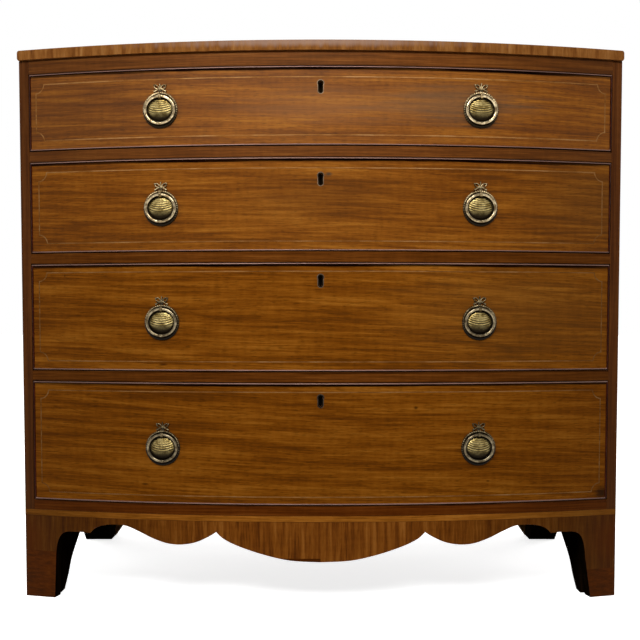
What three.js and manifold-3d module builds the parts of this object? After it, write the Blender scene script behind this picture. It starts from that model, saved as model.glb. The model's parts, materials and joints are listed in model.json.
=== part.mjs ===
// Bow front chest of four long drawers, in millimetres, +Z up.
// The bowed front faces -Y, the origin is on the floor under the middle of the chest.
import * as THREE from "three";
import { mergeVertices } from "three/addons/utils/BufferGeometryUtils.js";
import Module from "manifold-3d";

const wasm = await Module();
wasm.setup();

// Carcass: the driving sizes
const carcassWidth = 1040;
const sideDepth = 500;
const bowRise = 68;
const sideThickness = 18;
const backThickness = 9;
const backRebate = 8;
const topThickness = 17;
const topSideOverhang = 2;
const topFrontOverhang = 5;
const topCornerRound = 4;
const topRailThickness = 23.7;
const dividerThickness = 17.7;
const bottomBoardThickness = 19.7;
const plinthHeight = 152.5;
const railDepth = 95;
const runnerWidth = 27;
const housingDepth = 6;
const housingStop = 12;
const backPlanks = 5;
const plankGroove = 1.5;

// Drawers, from the top one down
const drawerHeights = [130, 155, 182, 207];
const keyDrops = [33.7, 35.8, 29.9, 30];
const handleDrops = [68.7, 82.3, 99.4, 111];
const handleHalfSpan = 268.5;
const drawerTopGap = 1.2;
const drawerFootGap = 0.8;
const drawerSideGap = 1;
const runningGap = 0.3;
const drawerFrontThickness = 22;
const drawerSideThickness = 10;
const drawerSideDrop = 6;
const drawerBackDrop = 14;
const drawerBackThickness = 10;
const drawerBackClearance = 8;
const drawerBottomThickness = 7;
const drawerBottomLift = 7;
const drawerGroove = 4;
const stopWidth = 40;
const stopDepth = 25;
const stopHeight = 4;
const stopHalfSpan = 150;

// Cockbead, a strip let into the edges of each drawer front
const beadWidth = 3;
const beadProud = 2;
const beadInset = 5;

// Dovetails
const tailPitch = 46;
const leastTails = 2;
const tailNeckShare = 0.62;
const tailSlopeShare = 1 / 7;
const lapTailLength = 12;
const jointGap = 0.25;
const glueGap = 0.3;

// Lock, its bolt and the keyhole
const lockWidth = 64;
const lockHeight = 49;
const lockDepth = 11;
const boltWidth = 18;
const boltThickness = 5.4;
const boltHeight = 17.5;
const boltTravel = 8;
const boltSink = 0.5;
const boltGap = 0.3;
const boltTalon = 5;
const lockBackWall = 2.5;
const keyPocketDepth = 2;
const keyPinRadius = 1;
const keyholeHeight = 18;
const keyholeRadius = 3.2;
const keyholeShank = 2.4;
const escutcheonRim = 3.2;
const escutcheonDepth = 1.5;

// Handles: plate, eye, bolt, nut and ring
const plateRadius = 30;
const plateSheet = 1.3;
const rimWidth = 4.4;
const rimHeight = 3;
const domeHalfWidth = 19.4;
const domeHalfHeight = 17.6;
const domeHeight = 6.4;
const ringRadius = 22.6;
const ringWire = 2;
const ringStandoff = 4.3;
const eyeWidth = 4.4;
const eyeWall = 1.6;
const eyeGap = 0.35;
const crestWidth = 22;
const crestHeight = 15;
const crestThickness = 2;
const handleBoltRadius = 2.5;
const handleBoltSlack = 0.3;
const nutRadius = 5.5;
const nutThickness = 4;
const nutSpare = 2;

// Apron and feet
const apronThickness = 20;
const apronEdgeHeight = 118.5;
const footTopWidth = 57;
const footTopHeight = 74;
const footWidthLeft = 54;
const footWidthRight = 46;
const footBracketReach = 82;
const frontFootDepth = 42;
const rearFootDepth = 58;
const footBlockWidth = 57;
const footBlockLength = 180;
const sideBracketReach = 190;
const rearFootReach = 150;
const rearBracketReach = 150;
const rearBracketThickness = 20;

// Lower edge of the apron, from the middle outwards, as shares of half the width and of the plinth's height
const middleLobeShares = [
  [0, 0.498],
  [0.1, 0.516],
  [0.19, 0.583],
  [0.27, 0.673],
  [0.318, 0.752],
  [0.342, 0.826],
];
const sideLobeShares = [
  [0.342, 0.826],
  [0.365, 0.776],
  [0.408, 0.708],
  [0.455, 0.677],
  [0.502, 0.684],
  [0.55, 0.734],
  [0.597, 0.806],
  [0.64, 0.866],
  [0.675, 0.879],
  [0.715, 0.871],
  [0.747, 0.835],
  [0.769, 0.77],
];
const cuspShares = [0.791, 0.777];
// Hollow edge of a bracket, as shares of its reach and of the height of the straight edge
const footCurveShares = [
  [0.08, 0.86],
  [0.5, 0.97],
];
const sideBracketShares = [
  [0, 0],
  [0.142, 0.169],
  [0.295, 0.396],
  [0.653, 0.7],
  [0.86, 0.92],
  [1, 1],
];
const rearBracketShares = [
  [0, 0],
  [0.14, 0.25],
  [0.36, 0.6],
  [0.68, 0.88],
  [1, 1],
];
// Half outline of the crest above a handle plate, as shares of half its width and of its height
const crestShares = [
  [0.75, 0],
  [0.62, 0.3],
  [1, 0.42],
  [0.62, 0.56],
  [0.8, 0.92],
  [0.3, 0.68],
  [0, 1],
];

// Section of the cockbead, as shares of its width and of how proud it stands
const beadSectionShares = [
  [0, 0.45],
  [0.3, 1],
  [0.7, 1],
  [1, 0.45],
];
// Rim of a handle plate, from its edge inwards, as shares of the rim's width and height
const rimShares = [
  [0, 0],
  [0, 0.55],
  [0.3, 1],
  [0.75, 0.9],
];
// Dome of a handle plate, from its foot to its middle, as shares of its half width and of its height
const domeShares = [
  [0.93, 0.5],
  [0.6, 0.88],
  [0, 1],
];

// Counts of facets
const bowSteps = 16;
const curveSteps = 8;
const sideLobeSteps = 16;
const cornerSteps = 3;
const bracketSteps = 5;
const keyholeSteps = 6;
const plateSides = 16;
const ringSides = 6;
const ringSteps = 20;
const rodSides = 8;
const nutSides = 6;
const eyeSides = 10;
const overrun = 5;

// Sizes worked out from the ones above
const halfWidth = carcassWidth / 2;
const openingHalf = halfWidth - sideThickness;
const bowRadius = (halfWidth ** 2 + bowRise ** 2) / (2 * bowRise);
const bowCentreY = bowRadius - bowRise;
const backPanelY = sideDepth - backThickness;
const railBackY = railDepth - bowRise;
const housingHalf = openingHalf + housingDepth;
const housingFrontY = bowY(openingHalf) + housingStop;
const runnerInner = openingHalf - runnerWidth;
const drawerHalf = openingHalf - drawerSideGap;
const drawerInner = drawerHalf - drawerSideThickness;
const shoulderY = bowY(drawerInner, -drawerFrontThickness);
const drawerBackY = backPanelY - drawerBackClearance;
const frontInnerY = bowY(0, -drawerFrontThickness);
const lockFrontY = frontInnerY - lockDepth;
const boltBackY = frontInnerY - lockBackWall - boltGap;
const boltFrontY = boltBackY - boltThickness;
const hingeHeight = ringRadius;
const eyeHoleRadius = ringWire + eyeGap;
const eyeRadius = eyeHoleRadius + eyeWall;

// Levels of the drawers, counted from the top one down
const drawerLevels = [];
const dividerLevels = [];
let level = plinthHeight + bottomBoardThickness;
for (let i = drawerHeights.length - 1; i >= 0; i -= 1) {
  drawerLevels[i] = level + drawerFootGap;
  level = drawerLevels[i] + drawerHeights[i] + drawerTopGap;
  if (i > 0) {
    dividerLevels[i - 1] = level;
    level += dividerThickness;
  }
}
const topRailLevel = level;
const topLevel = topRailLevel + topRailThickness;

// Y of the bowed front at x, moved outwards along the radius by outward.
function bowY(x, outward = 0) {
  return bowCentreY - Math.sqrt((bowRadius + outward) ** 2 - x ** 2);
}

// Points along the bow from x = from to x = to.
function bowLine(from, to, outward = 0) {
  const points = [];
  for (let i = 0; i <= bowSteps; i += 1) {
    const x = i === bowSteps ? to : from + ((to - from) * i) / bowSteps;
    points.push([x, bowY(x, outward)]);
  }
  return points;
}

// A closed geometry as a solid: shared corners merged, empty triangles left out, faces turned outwards.
function solidOf(geometry) {
  const bare = geometry.clone();
  bare.deleteAttribute("normal");
  bare.deleteAttribute("uv");
  const merged = mergeVertices(bare);
  const corners = merged.index.array;
  const kept = [];
  for (let i = 0; i < corners.length; i += 3) {
    const [a, b, c] = [corners[i], corners[i + 1], corners[i + 2]];
    if (a !== b && b !== c && c !== a) kept.push(a, b, c);
  }
  const vertProperties = new Float32Array(merged.attributes.position.array);
  const build = (list) =>
    new wasm.Manifold(new wasm.Mesh({ numProp: 3, vertProperties, triVerts: new Uint32Array(list) }));
  const made = build(kept);
  return made.volume() > 0 ? made : build(kept.toReversed());
}

// Prism of an outline in the plane square to an axis: XY for z, YZ for x, XZ for y.
function prism(outline, axis, from, to) {
  const shape = new THREE.Shape(outline.map(([u, v]) => new THREE.Vector2(u, v)));
  const geometry = new THREE.ExtrudeGeometry(shape, { depth: 1, bevelEnabled: false });
  const p = geometry.attributes.position;
  for (let i = 0; i < p.count; i += 1) {
    const w = p.getZ(i) > 0 ? to : from;
    if (axis === "z") p.setXYZ(i, p.getX(i), p.getY(i), w);
    else if (axis === "x") p.setXYZ(i, w, p.getX(i), p.getY(i));
    else p.setXYZ(i, p.getX(i), w, p.getY(i));
  }
  return solidOf(geometry);
}

function box(x0, x1, y0, y1, z0, z1) {
  const geometry = new THREE.BoxGeometry();
  const p = geometry.attributes.position;
  for (let i = 0; i < p.count; i += 1)
    p.setXYZ(i, p.getX(i) > 0 ? x1 : x0, p.getY(i) > 0 ? y1 : y0, p.getZ(i) > 0 ? z1 : z0);
  return solidOf(geometry);
}

// Regular outline of a given number of sides round a centre.
function ringOutline(radius, sides, cu = 0, cv = 0, turn = 0.5) {
  const points = [];
  for (let i = 0; i < sides; i += 1) {
    const a = ((i + turn) * 2 * Math.PI) / sides;
    points.push([cu + radius * Math.cos(a), cv + radius * Math.sin(a)]);
  }
  return points;
}

// Both ends of the stretch from a to b on one side of the chest, the lower one first.
function span(side, a, b) {
  return [Math.min(side * a, side * b), Math.max(side * a, side * b)];
}

// Outline drawn for the right side, mirrored where it is for the left.
function onSide(side, outline) {
  return outline.map(([u, v]) => [side * u, v]);
}

// Outline mirrored across the first coordinate, from its right half listed upwards.
function mirrored(half) {
  const left = onSide(-1, half.filter(([u]) => u > 0));
  return [...half, ...left.toReversed()];
}

// A smooth curve through points, as a list of points.
function smooth(points, steps = curveSteps) {
  const curve = new THREE.SplineCurve(points.map(([u, v]) => new THREE.Vector2(u, v)));
  return curve.getPoints(steps).map((p) => [p.x, p.y]);
}

function joined(first, ...others) {
  return others.reduce((sum, other) => sum.add(other), first);
}

function cut(first, ...others) {
  return others.reduce((rest, other) => rest.subtract(other), first);
}

const finish = {
  mahogany: new THREE.MeshStandardMaterial({ color: 0x7a4a22, roughness: 0.42 }),
  darkMahogany: new THREE.MeshStandardMaterial({ color: 0x4a2413, roughness: 0.42 }),
  bead: new THREE.MeshStandardMaterial({ color: 0x5a2a1a, roughness: 0.35 }),
  pine: new THREE.MeshStandardMaterial({ color: 0x9a7146, roughness: 0.75 }),
  oak: new THREE.MeshStandardMaterial({ color: 0x8a6238, roughness: 0.7 }),
  brass: new THREE.MeshStandardMaterial({ color: 0x9c8348, roughness: 0.35, metalness: 1 }),
  steel: new THREE.MeshStandardMaterial({ color: 0x6b665e, roughness: 0.5, metalness: 1 }),
};

// A solid as a named mesh in a group.
function place(group, name, solid, material) {
  const { vertProperties, triVerts } = solid.getMesh();
  const geometry = new THREE.BufferGeometry();
  geometry.setAttribute("position", new THREE.BufferAttribute(new Float32Array(vertProperties), 3));
  geometry.setIndex(new THREE.BufferAttribute(new Uint32Array(triVerts), 1));
  const flat = geometry.toNonIndexed();
  flat.computeVertexNormals();
  const mesh = new THREE.Mesh(flat, material);
  mesh.name = name;
  group.add(mesh);
  return mesh;
}

// Carcass
function topBoard() {
  const half = halfWidth + topSideOverhang;
  const inner = half - topCornerRound;
  const front = bowLine(-inner, inner, topFrontOverhang);
  const cornerY = bowY(half, topFrontOverhang);
  const roundEnd = cornerY + topCornerRound;
  const outline = [
    ...front,
    ...roundCorner([inner, front.at(-1)[1]], [half, cornerY], [half, roundEnd]),
    [half, sideDepth],
    [-half, sideDepth],
    ...roundCorner([-half, roundEnd], [-half, cornerY], [-inner, front[0][1]]).slice(0, -1),
  ];
  return prism(outline, "z", topLevel, topLevel + topThickness);
}

// Points of a round between two edges that meet at corner, without the first one.
function roundCorner(start, corner, end) {
  const [a, b, c] = [start, corner, end].map(([u, v]) => new THREE.Vector2(u, v));
  const points = new THREE.QuadraticBezierCurve(a, b, c).getPoints(cornerSteps).map((p) => [p.x, p.y]);
  return start[0] > 0 ? points.slice(1) : points;
}

function sidePanel(side) {
  const outline = [
    [openingHalf, bowY(openingHalf)],
    [openingHalf + sideThickness / 2, bowY(openingHalf + sideThickness / 2)],
    [halfWidth, 0],
    [halfWidth, sideDepth],
    [openingHalf + backRebate, sideDepth],
    [openingHalf + backRebate, backPanelY],
    [openingHalf, backPanelY],
  ];
  const panel = prism(onSide(side, outline), "z", plinthHeight, topLevel);
  const [x0, x1] = span(side, openingHalf - overrun, housingHalf);
  const housing = (z0, z1) => box(x0, x1, housingFrontY, backPanelY, z0, z1);
  return cut(
    panel,
    housing(plinthHeight - overrun, plinthHeight + bottomBoardThickness),
    ...dividerLevels.map((z) => housing(z, z + dividerThickness)),
    housing(topRailLevel, topLevel + overrun),
  );
}

// Plan of a rail with a bowed front, its ends housed in the sides and runners to the back.
function railPlan() {
  const right = [
    [openingHalf, housingFrontY],
    [housingHalf, housingFrontY],
    [housingHalf, backPanelY],
    [runnerInner, backPanelY],
    [runnerInner, railBackY],
  ];
  const left = onSide(-1, right).toReversed();
  return [...bowLine(-openingHalf, openingHalf), ...right, ...left];
}

// Mortise over the bolt of the lock below a rail.
function boltMortise(z) {
  const half = boltWidth / 2 + boltGap;
  return box(-half, half, boltFrontY - boltGap, boltBackY + boltGap, z - overrun, z + boltTravel);
}

// Two blocks that stop a drawer front from sliding in too far.
function drawerStops(z) {
  const inner = stopHalfSpan - stopWidth / 2;
  const outer = stopHalfSpan + stopWidth / 2;
  const y = bowY(outer, -drawerFrontThickness) + glueGap;
  return [-1, 1].map((side) => box(...span(side, inner, outer), y, y + stopDepth, z, z + stopHeight));
}

function topRail() {
  return cut(prism(railPlan(), "z", topRailLevel, topLevel), boltMortise(topRailLevel));
}

function divider(i) {
  const z = dividerLevels[i];
  const rail = prism(railPlan(), "z", z, z + dividerThickness);
  return joined(cut(rail, boltMortise(z)), ...drawerStops(z + dividerThickness));
}

function bottomBoard() {
  const outline = [
    ...bowLine(-openingHalf, openingHalf),
    [openingHalf, housingFrontY],
    [housingHalf, housingFrontY],
    [housingHalf, backPanelY],
    [-housingHalf, backPanelY],
    [-housingHalf, housingFrontY],
    [-openingHalf, housingFrontY],
  ];
  const top = plinthHeight + bottomBoardThickness;
  return joined(prism(outline, "z", plinthHeight, top), ...drawerStops(top));
}

function backPanel() {
  const half = openingHalf + backRebate;
  const plank = (2 * half) / backPlanks;
  const outline = [
    [-half, backPanelY],
    [half, backPanelY],
    [half, sideDepth],
  ];
  for (let i = backPlanks - 1; i > 0; i -= 1) {
    const x = plank * i - half;
    outline.push([x + plankGroove, sideDepth], [x, sideDepth - plankGroove], [x - plankGroove, sideDepth]);
  }
  outline.push([-half, sideDepth]);
  return prism(outline, "z", plinthHeight, topLevel);
}

// Lower edge of the right half of the apron, from the middle to the floor inside the foot.
function apronEdge(footWidth) {
  const scale = (shares) => shares.map(([u, v]) => [u * halfWidth, v * plinthHeight]);
  const curveEnd = [halfWidth - footTopWidth, footTopHeight];
  const curveStart = [halfWidth - footBracketReach, apronEdgeHeight];
  const reach = curveEnd[0] - curveStart[0];
  const fall = curveStart[1] - curveEnd[1];
  const curve = footCurveShares.map(([u, v]) => [curveEnd[0] - u * reach, curveEnd[1] + v * fall]);
  const bend = curve.toReversed();
  const bracket = new THREE.CubicBezierCurve(
    ...[curveStart, ...bend, curveEnd].map(([u, v]) => new THREE.Vector2(u, v)),
  );
  return [
    ...smooth(scale(middleLobeShares)),
    ...smooth(scale(sideLobeShares), sideLobeSteps).slice(1),
    ...scale([cuspShares]),
    ...bracket.getPoints(bracketSteps).map((p) => [p.x, p.y]),
    [halfWidth - footWidth, 0],
  ];
}

// The wedge outside the mitre between the front apron and a side apron.
function mitreWedge(side, gap) {
  const reach = apronThickness * 2;
  const outline = [
    [halfWidth + overrun - gap, -overrun],
    [halfWidth - reach - gap, reach],
    [halfWidth + overrun, reach],
  ];
  return prism(onSide(side, outline), "z", -overrun, plinthHeight + overrun);
}

function frontApron() {
  const innerHalf = halfWidth - apronThickness / 2;
  const outline = [
    ...bowLine(-halfWidth, halfWidth),
    [halfWidth, bowY(innerHalf, -apronThickness)],
    ...bowLine(innerHalf, -innerHalf, -apronThickness),
    [-halfWidth, bowY(innerHalf, -apronThickness)],
  ];
  const right = apronEdge(footWidthRight);
  const left = onSide(-1, apronEdge(footWidthLeft).slice(1));
  const below = [...left.toReversed(), ...right, [right.at(-1)[0], -overrun], [left.at(-1)[0], -overrun]];
  return cut(
    prism(outline, "z", 0, plinthHeight),
    prism(below, "y", -bowRise - overrun, apronThickness + overrun),
    mitreWedge(1, glueGap),
    mitreWedge(-1, glueGap),
  );
}

// Hollow edge of a side bracket, from the floor at y = start, leading the way that reach has as its sign.
function sideBracket(start, reach) {
  return smooth(sideBracketShares.map(([u, v]) => [start + u * reach, v * apronEdgeHeight]));
}

// Lower edge of a side apron, seen from the side.
function sideApronOutline() {
  const front = sideBracket(frontFootDepth, sideBracketReach);
  const rear = sideBracket(sideDepth - rearFootDepth, -rearFootReach);
  const brackets = [...front, ...rear.toReversed()];
  return [[0, plinthHeight], [0, 0], ...brackets, [sideDepth, 0], [sideDepth, plinthHeight]];
}

function sideApron(side) {
  const outline = sideApronOutline();
  const inner = halfWidth - footBlockWidth;
  const board = prism(outline, "x", ...span(side, halfWidth - apronThickness, halfWidth));
  const thick = prism(outline, "x", ...span(side, inner, halfWidth - apronThickness / 2));
  const [x0, x1] = span(side, inner - overrun, halfWidth);
  const block = (y0, y1) => thick.intersect(box(x0, x1, y0, y1, -overrun, plinthHeight));
  const frontBlock = block(0, footBlockLength);
  const rearBlock = block(sideDepth - footBlockLength, sideDepth);
  const alongBracket = ([u, v]) => [inner - u * rearBracketReach, v * apronEdgeHeight];
  const bracketEdge = smooth(rearBracketShares.map(alongBracket));
  const bracketOutline = [
    [inner + overrun, 0],
    ...bracketEdge,
    [inner - rearBracketReach, plinthHeight],
    [inner + overrun, plinthHeight],
  ];
  const bracket = prism(onSide(side, bracketOutline), "y", sideDepth - rearBracketThickness, sideDepth);
  const frontBand = [
    ...bowLine(0, halfWidth + overrun, overrun),
    ...bowLine(halfWidth + overrun, 0, -apronThickness - glueGap),
  ];
  const band = prism(onSide(side, frontBand), "z", -overrun, plinthHeight + overrun);
  const keepWedge = mitreWedge(side, 0);
  return cut(joined(board, frontBlock, rearBlock, bracket), band.subtract(keepWedge));
}

// Drawers, each in its own frame with z = 0 at the lower edge of its front
function tailRow(zFrom, zTo, length) {
  const count = Math.max(leastTails, Math.round((zTo - zFrom) / tailPitch));
  const pitch = (zTo - zFrom) / count;
  const neck = (pitch * tailNeckShare) / 2;
  const tip = neck + length * tailSlopeShare;
  return Array.from({ length: count }, (_, i) => ({ z: zFrom + pitch * (i + 0.5), neck, tip }));
}

// Sockets for a row of tails that grow from the plane y = baseY to y = tipY.
function sockets(row, baseY, tipY, side) {
  const way = Math.sign(tipY - baseY);
  return row.map(({ z, neck, tip }) => {
    const outline = [
      [baseY - way * overrun, z - neck - jointGap],
      [baseY, z - neck - jointGap],
      [tipY + way * jointGap, z - tip - jointGap],
      [tipY + way * jointGap, z + tip + jointGap],
      [baseY, z + neck + jointGap],
      [baseY - way * overrun, z + neck + jointGap],
    ];
    return prism(outline, "x", ...span(side, drawerInner, drawerHalf + overrun));
  });
}

function keyholeOutline(centreZ, margin) {
  const top = centreZ + keyholeHeight / 2 - keyholeRadius;
  const foot = centreZ - keyholeHeight / 2 + keyholeShank;
  const head = keyholeRadius + margin;
  const shank = keyholeShank + margin;
  const meet = Math.acos(shank / head);
  const points = [];
  for (let i = 0; i <= keyholeSteps; i += 1) {
    const a = -meet + ((Math.PI + 2 * meet) * i) / keyholeSteps;
    points.push([head * Math.cos(a), top + head * Math.sin(a)]);
  }
  for (let i = 0; i <= keyholeSteps / 2; i += 1) {
    const a = Math.PI + (2 * Math.PI * i) / keyholeSteps;
    points.push([shank * Math.cos(a), foot + shank * Math.sin(a)]);
  }
  return points;
}

function drawerFront(i) {
  const height = drawerHeights[i];
  const edge = (half, outward) => bowLine(-half, half, outward);
  const rearLine = edge(drawerInner, -drawerFrontThickness).toReversed();
  const rear = [[drawerHalf, shoulderY], ...rearLine, [-drawerHalf, shoulderY]];
  const blank = prism([...edge(drawerHalf, -beadInset), ...rear], "z", 0, height);
  const panelHalf = drawerHalf - beadWidth;
  const panelPlan = [...edge(panelHalf, 0), ...edge(panelHalf, -2 * beadInset).toReversed()];
  const panel = prism(panelPlan, "z", beadWidth, height - beadWidth);
  const tails = tailRow(beadWidth, height - drawerSideDrop, lapTailLength);
  const grooveFront = drawerGroove - drawerFrontThickness;
  const grooveBack = shoulderY + overrun;
  const groovePlan = [...edge(drawerInner, grooveFront), [drawerInner, grooveBack], [-drawerInner, grooveBack]];
  const groove = prism(groovePlan, "z", drawerBottomLift, drawerBottomLift + drawerBottomThickness);
  const lockBay = box(
    -lockWidth / 2,
    lockWidth / 2,
    lockFrontY,
    frontInnerY + overrun,
    height - lockHeight,
    height + overrun,
  );
  const keyZ = height - keyDrops[i];
  const faceY = bowY(0);
  const keyhole = prism(keyholeOutline(keyZ, 0), "y", faceY - overrun, lockFrontY + overrun / 2);
  const rim = keyholeOutline(keyZ, escutcheonRim);
  const escutcheon = prism(rim, "y", faceY - overrun, faceY + escutcheonDepth);
  const handleHoles = [-1, 1].map((side) => {
    const hole = prism(
      ringOutline(handleBoltRadius + handleBoltSlack, rodSides, 0, hingeHeight),
      "y",
      -overrun,
      drawerFrontThickness + overrun,
    );
    return moved(hole, handlePlace(i, side));
  });
  return cut(
    joined(blank, panel),
    ...sockets(tails, shoulderY, shoulderY - lapTailLength, 1),
    ...sockets(tails, shoulderY, shoulderY - lapTailLength, -1),
    groove,
    lockBay,
    keyhole,
    escutcheon,
    ...handleHoles,
  );
}

// Where the middle of a handle's plate lies on a drawer front, and how it turns with the bow.
function handlePlace(i, side) {
  const x = side * handleHalfSpan;
  const turn = Math.asin(x / bowRadius);
  return {
    position: [
      x + glueGap * Math.sin(turn),
      bowY(x) - glueGap * Math.cos(turn),
      drawerHeights[i] - handleDrops[i],
    ],
    turn,
  };
}

function moved(solid, { position, turn }) {
  return solid.rotate([0, 0, THREE.MathUtils.radToDeg(turn)]).translate(position);
}

// The bead is one section led round the four edges of the drawer front, mitred at its corners.
function cockbead(i) {
  const height = drawerHeights[i];
  const inner = glueGap - beadInset;
  const rounded = beadSectionShares.map(([u, v]) => [u * beadWidth, v * beadProud]);
  const section = [[0, inner], ...rounded, [beadWidth, inner]];
  const station = (share, top) =>
    section.map(([inset, outward]) => {
      const x = (drawerHalf - inset) * share;
      return [x, bowY(x, outward), top ? height - inset : inset];
    });
  const stations = [];
  for (let k = 0; k <= bowSteps; k += 1) stations.push(station((2 * k) / bowSteps - 1, false));
  for (let k = bowSteps; k >= 0; k -= 1) stations.push(station((2 * k) / bowSteps - 1, true));
  const size = section.length;
  const index = [];
  for (let s = 0; s < stations.length; s += 1) {
    const here = s * size;
    const next = ((s + 1) % stations.length) * size;
    for (let j = 0; j < size; j += 1) {
      const k = (j + 1) % size;
      index.push(here + j, next + j, next + k, here + j, next + k, here + k);
    }
  }
  const geometry = new THREE.BufferGeometry();
  geometry.setAttribute("position", new THREE.Float32BufferAttribute(stations.flat(2), 3));
  geometry.setIndex(index);
  return solidOf(geometry);
}

function drawerSide(i, side) {
  const height = drawerHeights[i];
  const foot = runningGap - drawerFootGap;
  const top = height - drawerSideDrop;
  const backFoot = drawerBottomLift + drawerBottomThickness;
  const backTop = height - drawerBackDrop;
  const frontRow = tailRow(beadWidth, top, lapTailLength);
  const rearRow = tailRow(backFoot, backTop, drawerBackThickness);
  const tipY = shoulderY - lapTailLength;
  const rearBase = drawerBackY - drawerBackThickness;
  const outline = [
    [shoulderY, foot],
    [drawerBackY, foot],
    [drawerBackY, backFoot],
    [rearBase, backFoot],
  ];
  for (const { z, neck, tip } of rearRow)
    outline.push([rearBase, z - neck], [drawerBackY, z - tip], [drawerBackY, z + tip], [rearBase, z + neck]);
  outline.push([rearBase, backTop], [drawerBackY, backTop], [drawerBackY, top], [shoulderY, top]);
  for (const { z, neck, tip } of frontRow.toReversed())
    outline.push([shoulderY, z + neck], [tipY, z + tip], [tipY, z - tip], [shoulderY, z - neck]);
  const board = prism(outline, "x", ...span(side, drawerInner, drawerHalf));
  const [g0, g1] = span(side, drawerInner - overrun, drawerInner + drawerGroove);
  const groove = box(g0, g1, shoulderY, drawerBackY + overrun, drawerBottomLift, backFoot);
  return cut(board, groove);
}

function drawerBack(i) {
  const foot = drawerBottomLift + drawerBottomThickness;
  const top = drawerHeights[i] - drawerBackDrop;
  const base = drawerBackY - drawerBackThickness;
  const row = tailRow(foot, top, drawerBackThickness);
  return cut(
    box(-drawerHalf, drawerHalf, base, drawerBackY, foot, top),
    ...sockets(row, base, drawerBackY, 1),
    ...sockets(row, base, drawerBackY, -1),
  );
}

function drawerBottom() {
  const half = drawerInner + drawerGroove;
  const front = drawerGroove - drawerFrontThickness - glueGap;
  const outline = [
    ...bowLine(-drawerInner, drawerInner, front),
    [drawerInner, shoulderY],
    [half, shoulderY],
    [half, drawerBackY],
    [-half, drawerBackY],
    [-half, shoulderY],
    [-drawerInner, shoulderY],
  ];
  return prism(outline, "z", drawerBottomLift, drawerBottomLift + drawerBottomThickness);
}

function lockCase(i) {
  const height = drawerHeights[i];
  const half = boltWidth / 2 + boltGap;
  const channelFoot = height - boltSink - boltHeight - boltGap;
  const keyZ = height - keyDrops[i];
  const pinZ = keyZ + keyholeHeight / 2 - keyholeRadius;
  const pocket = prism(keyholeOutline(keyZ, 0), "y", lockFrontY - overrun, lockFrontY + keyPocketDepth);
  const pinEnd = lockFrontY + keyPocketDepth + boltGap / 2;
  const pin = prism(ringOutline(keyPinRadius, rodSides, 0, pinZ), "y", lockFrontY, pinEnd);
  const casing = box(-lockWidth / 2, lockWidth / 2, lockFrontY, frontInnerY, height - lockHeight, height);
  const channel = box(-half, half, boltFrontY - boltGap, boltBackY + boltGap, channelFoot, height + overrun);
  return joined(cut(casing, channel, pocket), pin);
}

function lockBolt(i) {
  const top = drawerHeights[i] - boltSink;
  const half = boltWidth / 2;
  const outline = [
    [-half, top - boltHeight],
    [-boltTalon / 2, top - boltHeight],
    [0, top - boltHeight + boltTalon / 2],
    [boltTalon / 2, top - boltHeight],
    [half, top - boltHeight],
    [half, top],
    [-half, top],
  ];
  return prism(outline, "y", boltFrontY, boltBackY);
}

// Plate of a handle, with its eye, bolt and nut, facing -Y with its back on y = 0.
function handlePlate() {
  const rim = rimShares.map(([u, v]) => [plateRadius - u * rimWidth, v * rimHeight]);
  const disc = revolved([[0, 0], ...rim, [plateRadius - rimWidth, plateSheet], [0, plateSheet]]);
  const swell = domeShares.map(([u, v]) => [u, v * domeHeight]);
  const domeFoot = plateSheet / 2;
  const dome = revolved([[0, domeFoot], [1, domeFoot], ...swell]).scale([domeHalfWidth, 1, domeHalfHeight]);
  const half = eyeWidth / 2;
  const eye = prism(ringOutline(eyeRadius, eyeSides, -ringStandoff, hingeHeight), "x", -half, half);
  const [stemFoot, stemHead] = [hingeHeight - eyeRadius, hingeHeight + eyeRadius];
  const stem = box(-half, half, -ringStandoff, -plateSheet / 2, stemFoot, stemHead);
  const hole = prism(
    ringOutline(eyeHoleRadius / Math.cos(Math.PI / eyeSides), eyeSides, -ringStandoff, hingeHeight),
    "x",
    -eyeWidth,
    eyeWidth,
  );
  const crestFoot = plateRadius - rimWidth / 2;
  const crestPoints = crestShares.map(([u, v]) => [(u * crestWidth) / 2, crestFoot + v * crestHeight]);
  const crest = prism(mirrored(crestPoints), "y", -crestThickness, 0);
  const nutStart = drawerFrontThickness + 2 * glueGap;
  const bolt = prism(
    ringOutline(handleBoltRadius, rodSides, 0, hingeHeight),
    "y",
    -plateSheet / 2,
    nutStart + nutThickness + nutSpare,
  );
  const nut = prism(ringOutline(nutRadius, nutSides, 0, hingeHeight), "y", nutStart, nutStart + nutThickness);
  return joined(cut(joined(disc, dome, eye, stem), hole), crest, bolt, nut);
}

// Revolved profile of [radius, height out of the plate] round the axis of the plate.
function revolved(profile) {
  const points = profile.map(([radius, out]) => new THREE.Vector2(radius, -out));
  return solidOf(new THREE.LatheGeometry(points, plateSides));
}

// Ring that hangs in the eye, with its top on the hinge.
function handleRing() {
  const geometry = new THREE.TorusGeometry(ringRadius, ringWire, ringSides, ringSteps);
  geometry.rotateX(Math.PI / 2);
  geometry.translate(0, -ringStandoff, 0);
  return solidOf(geometry);
}

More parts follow.
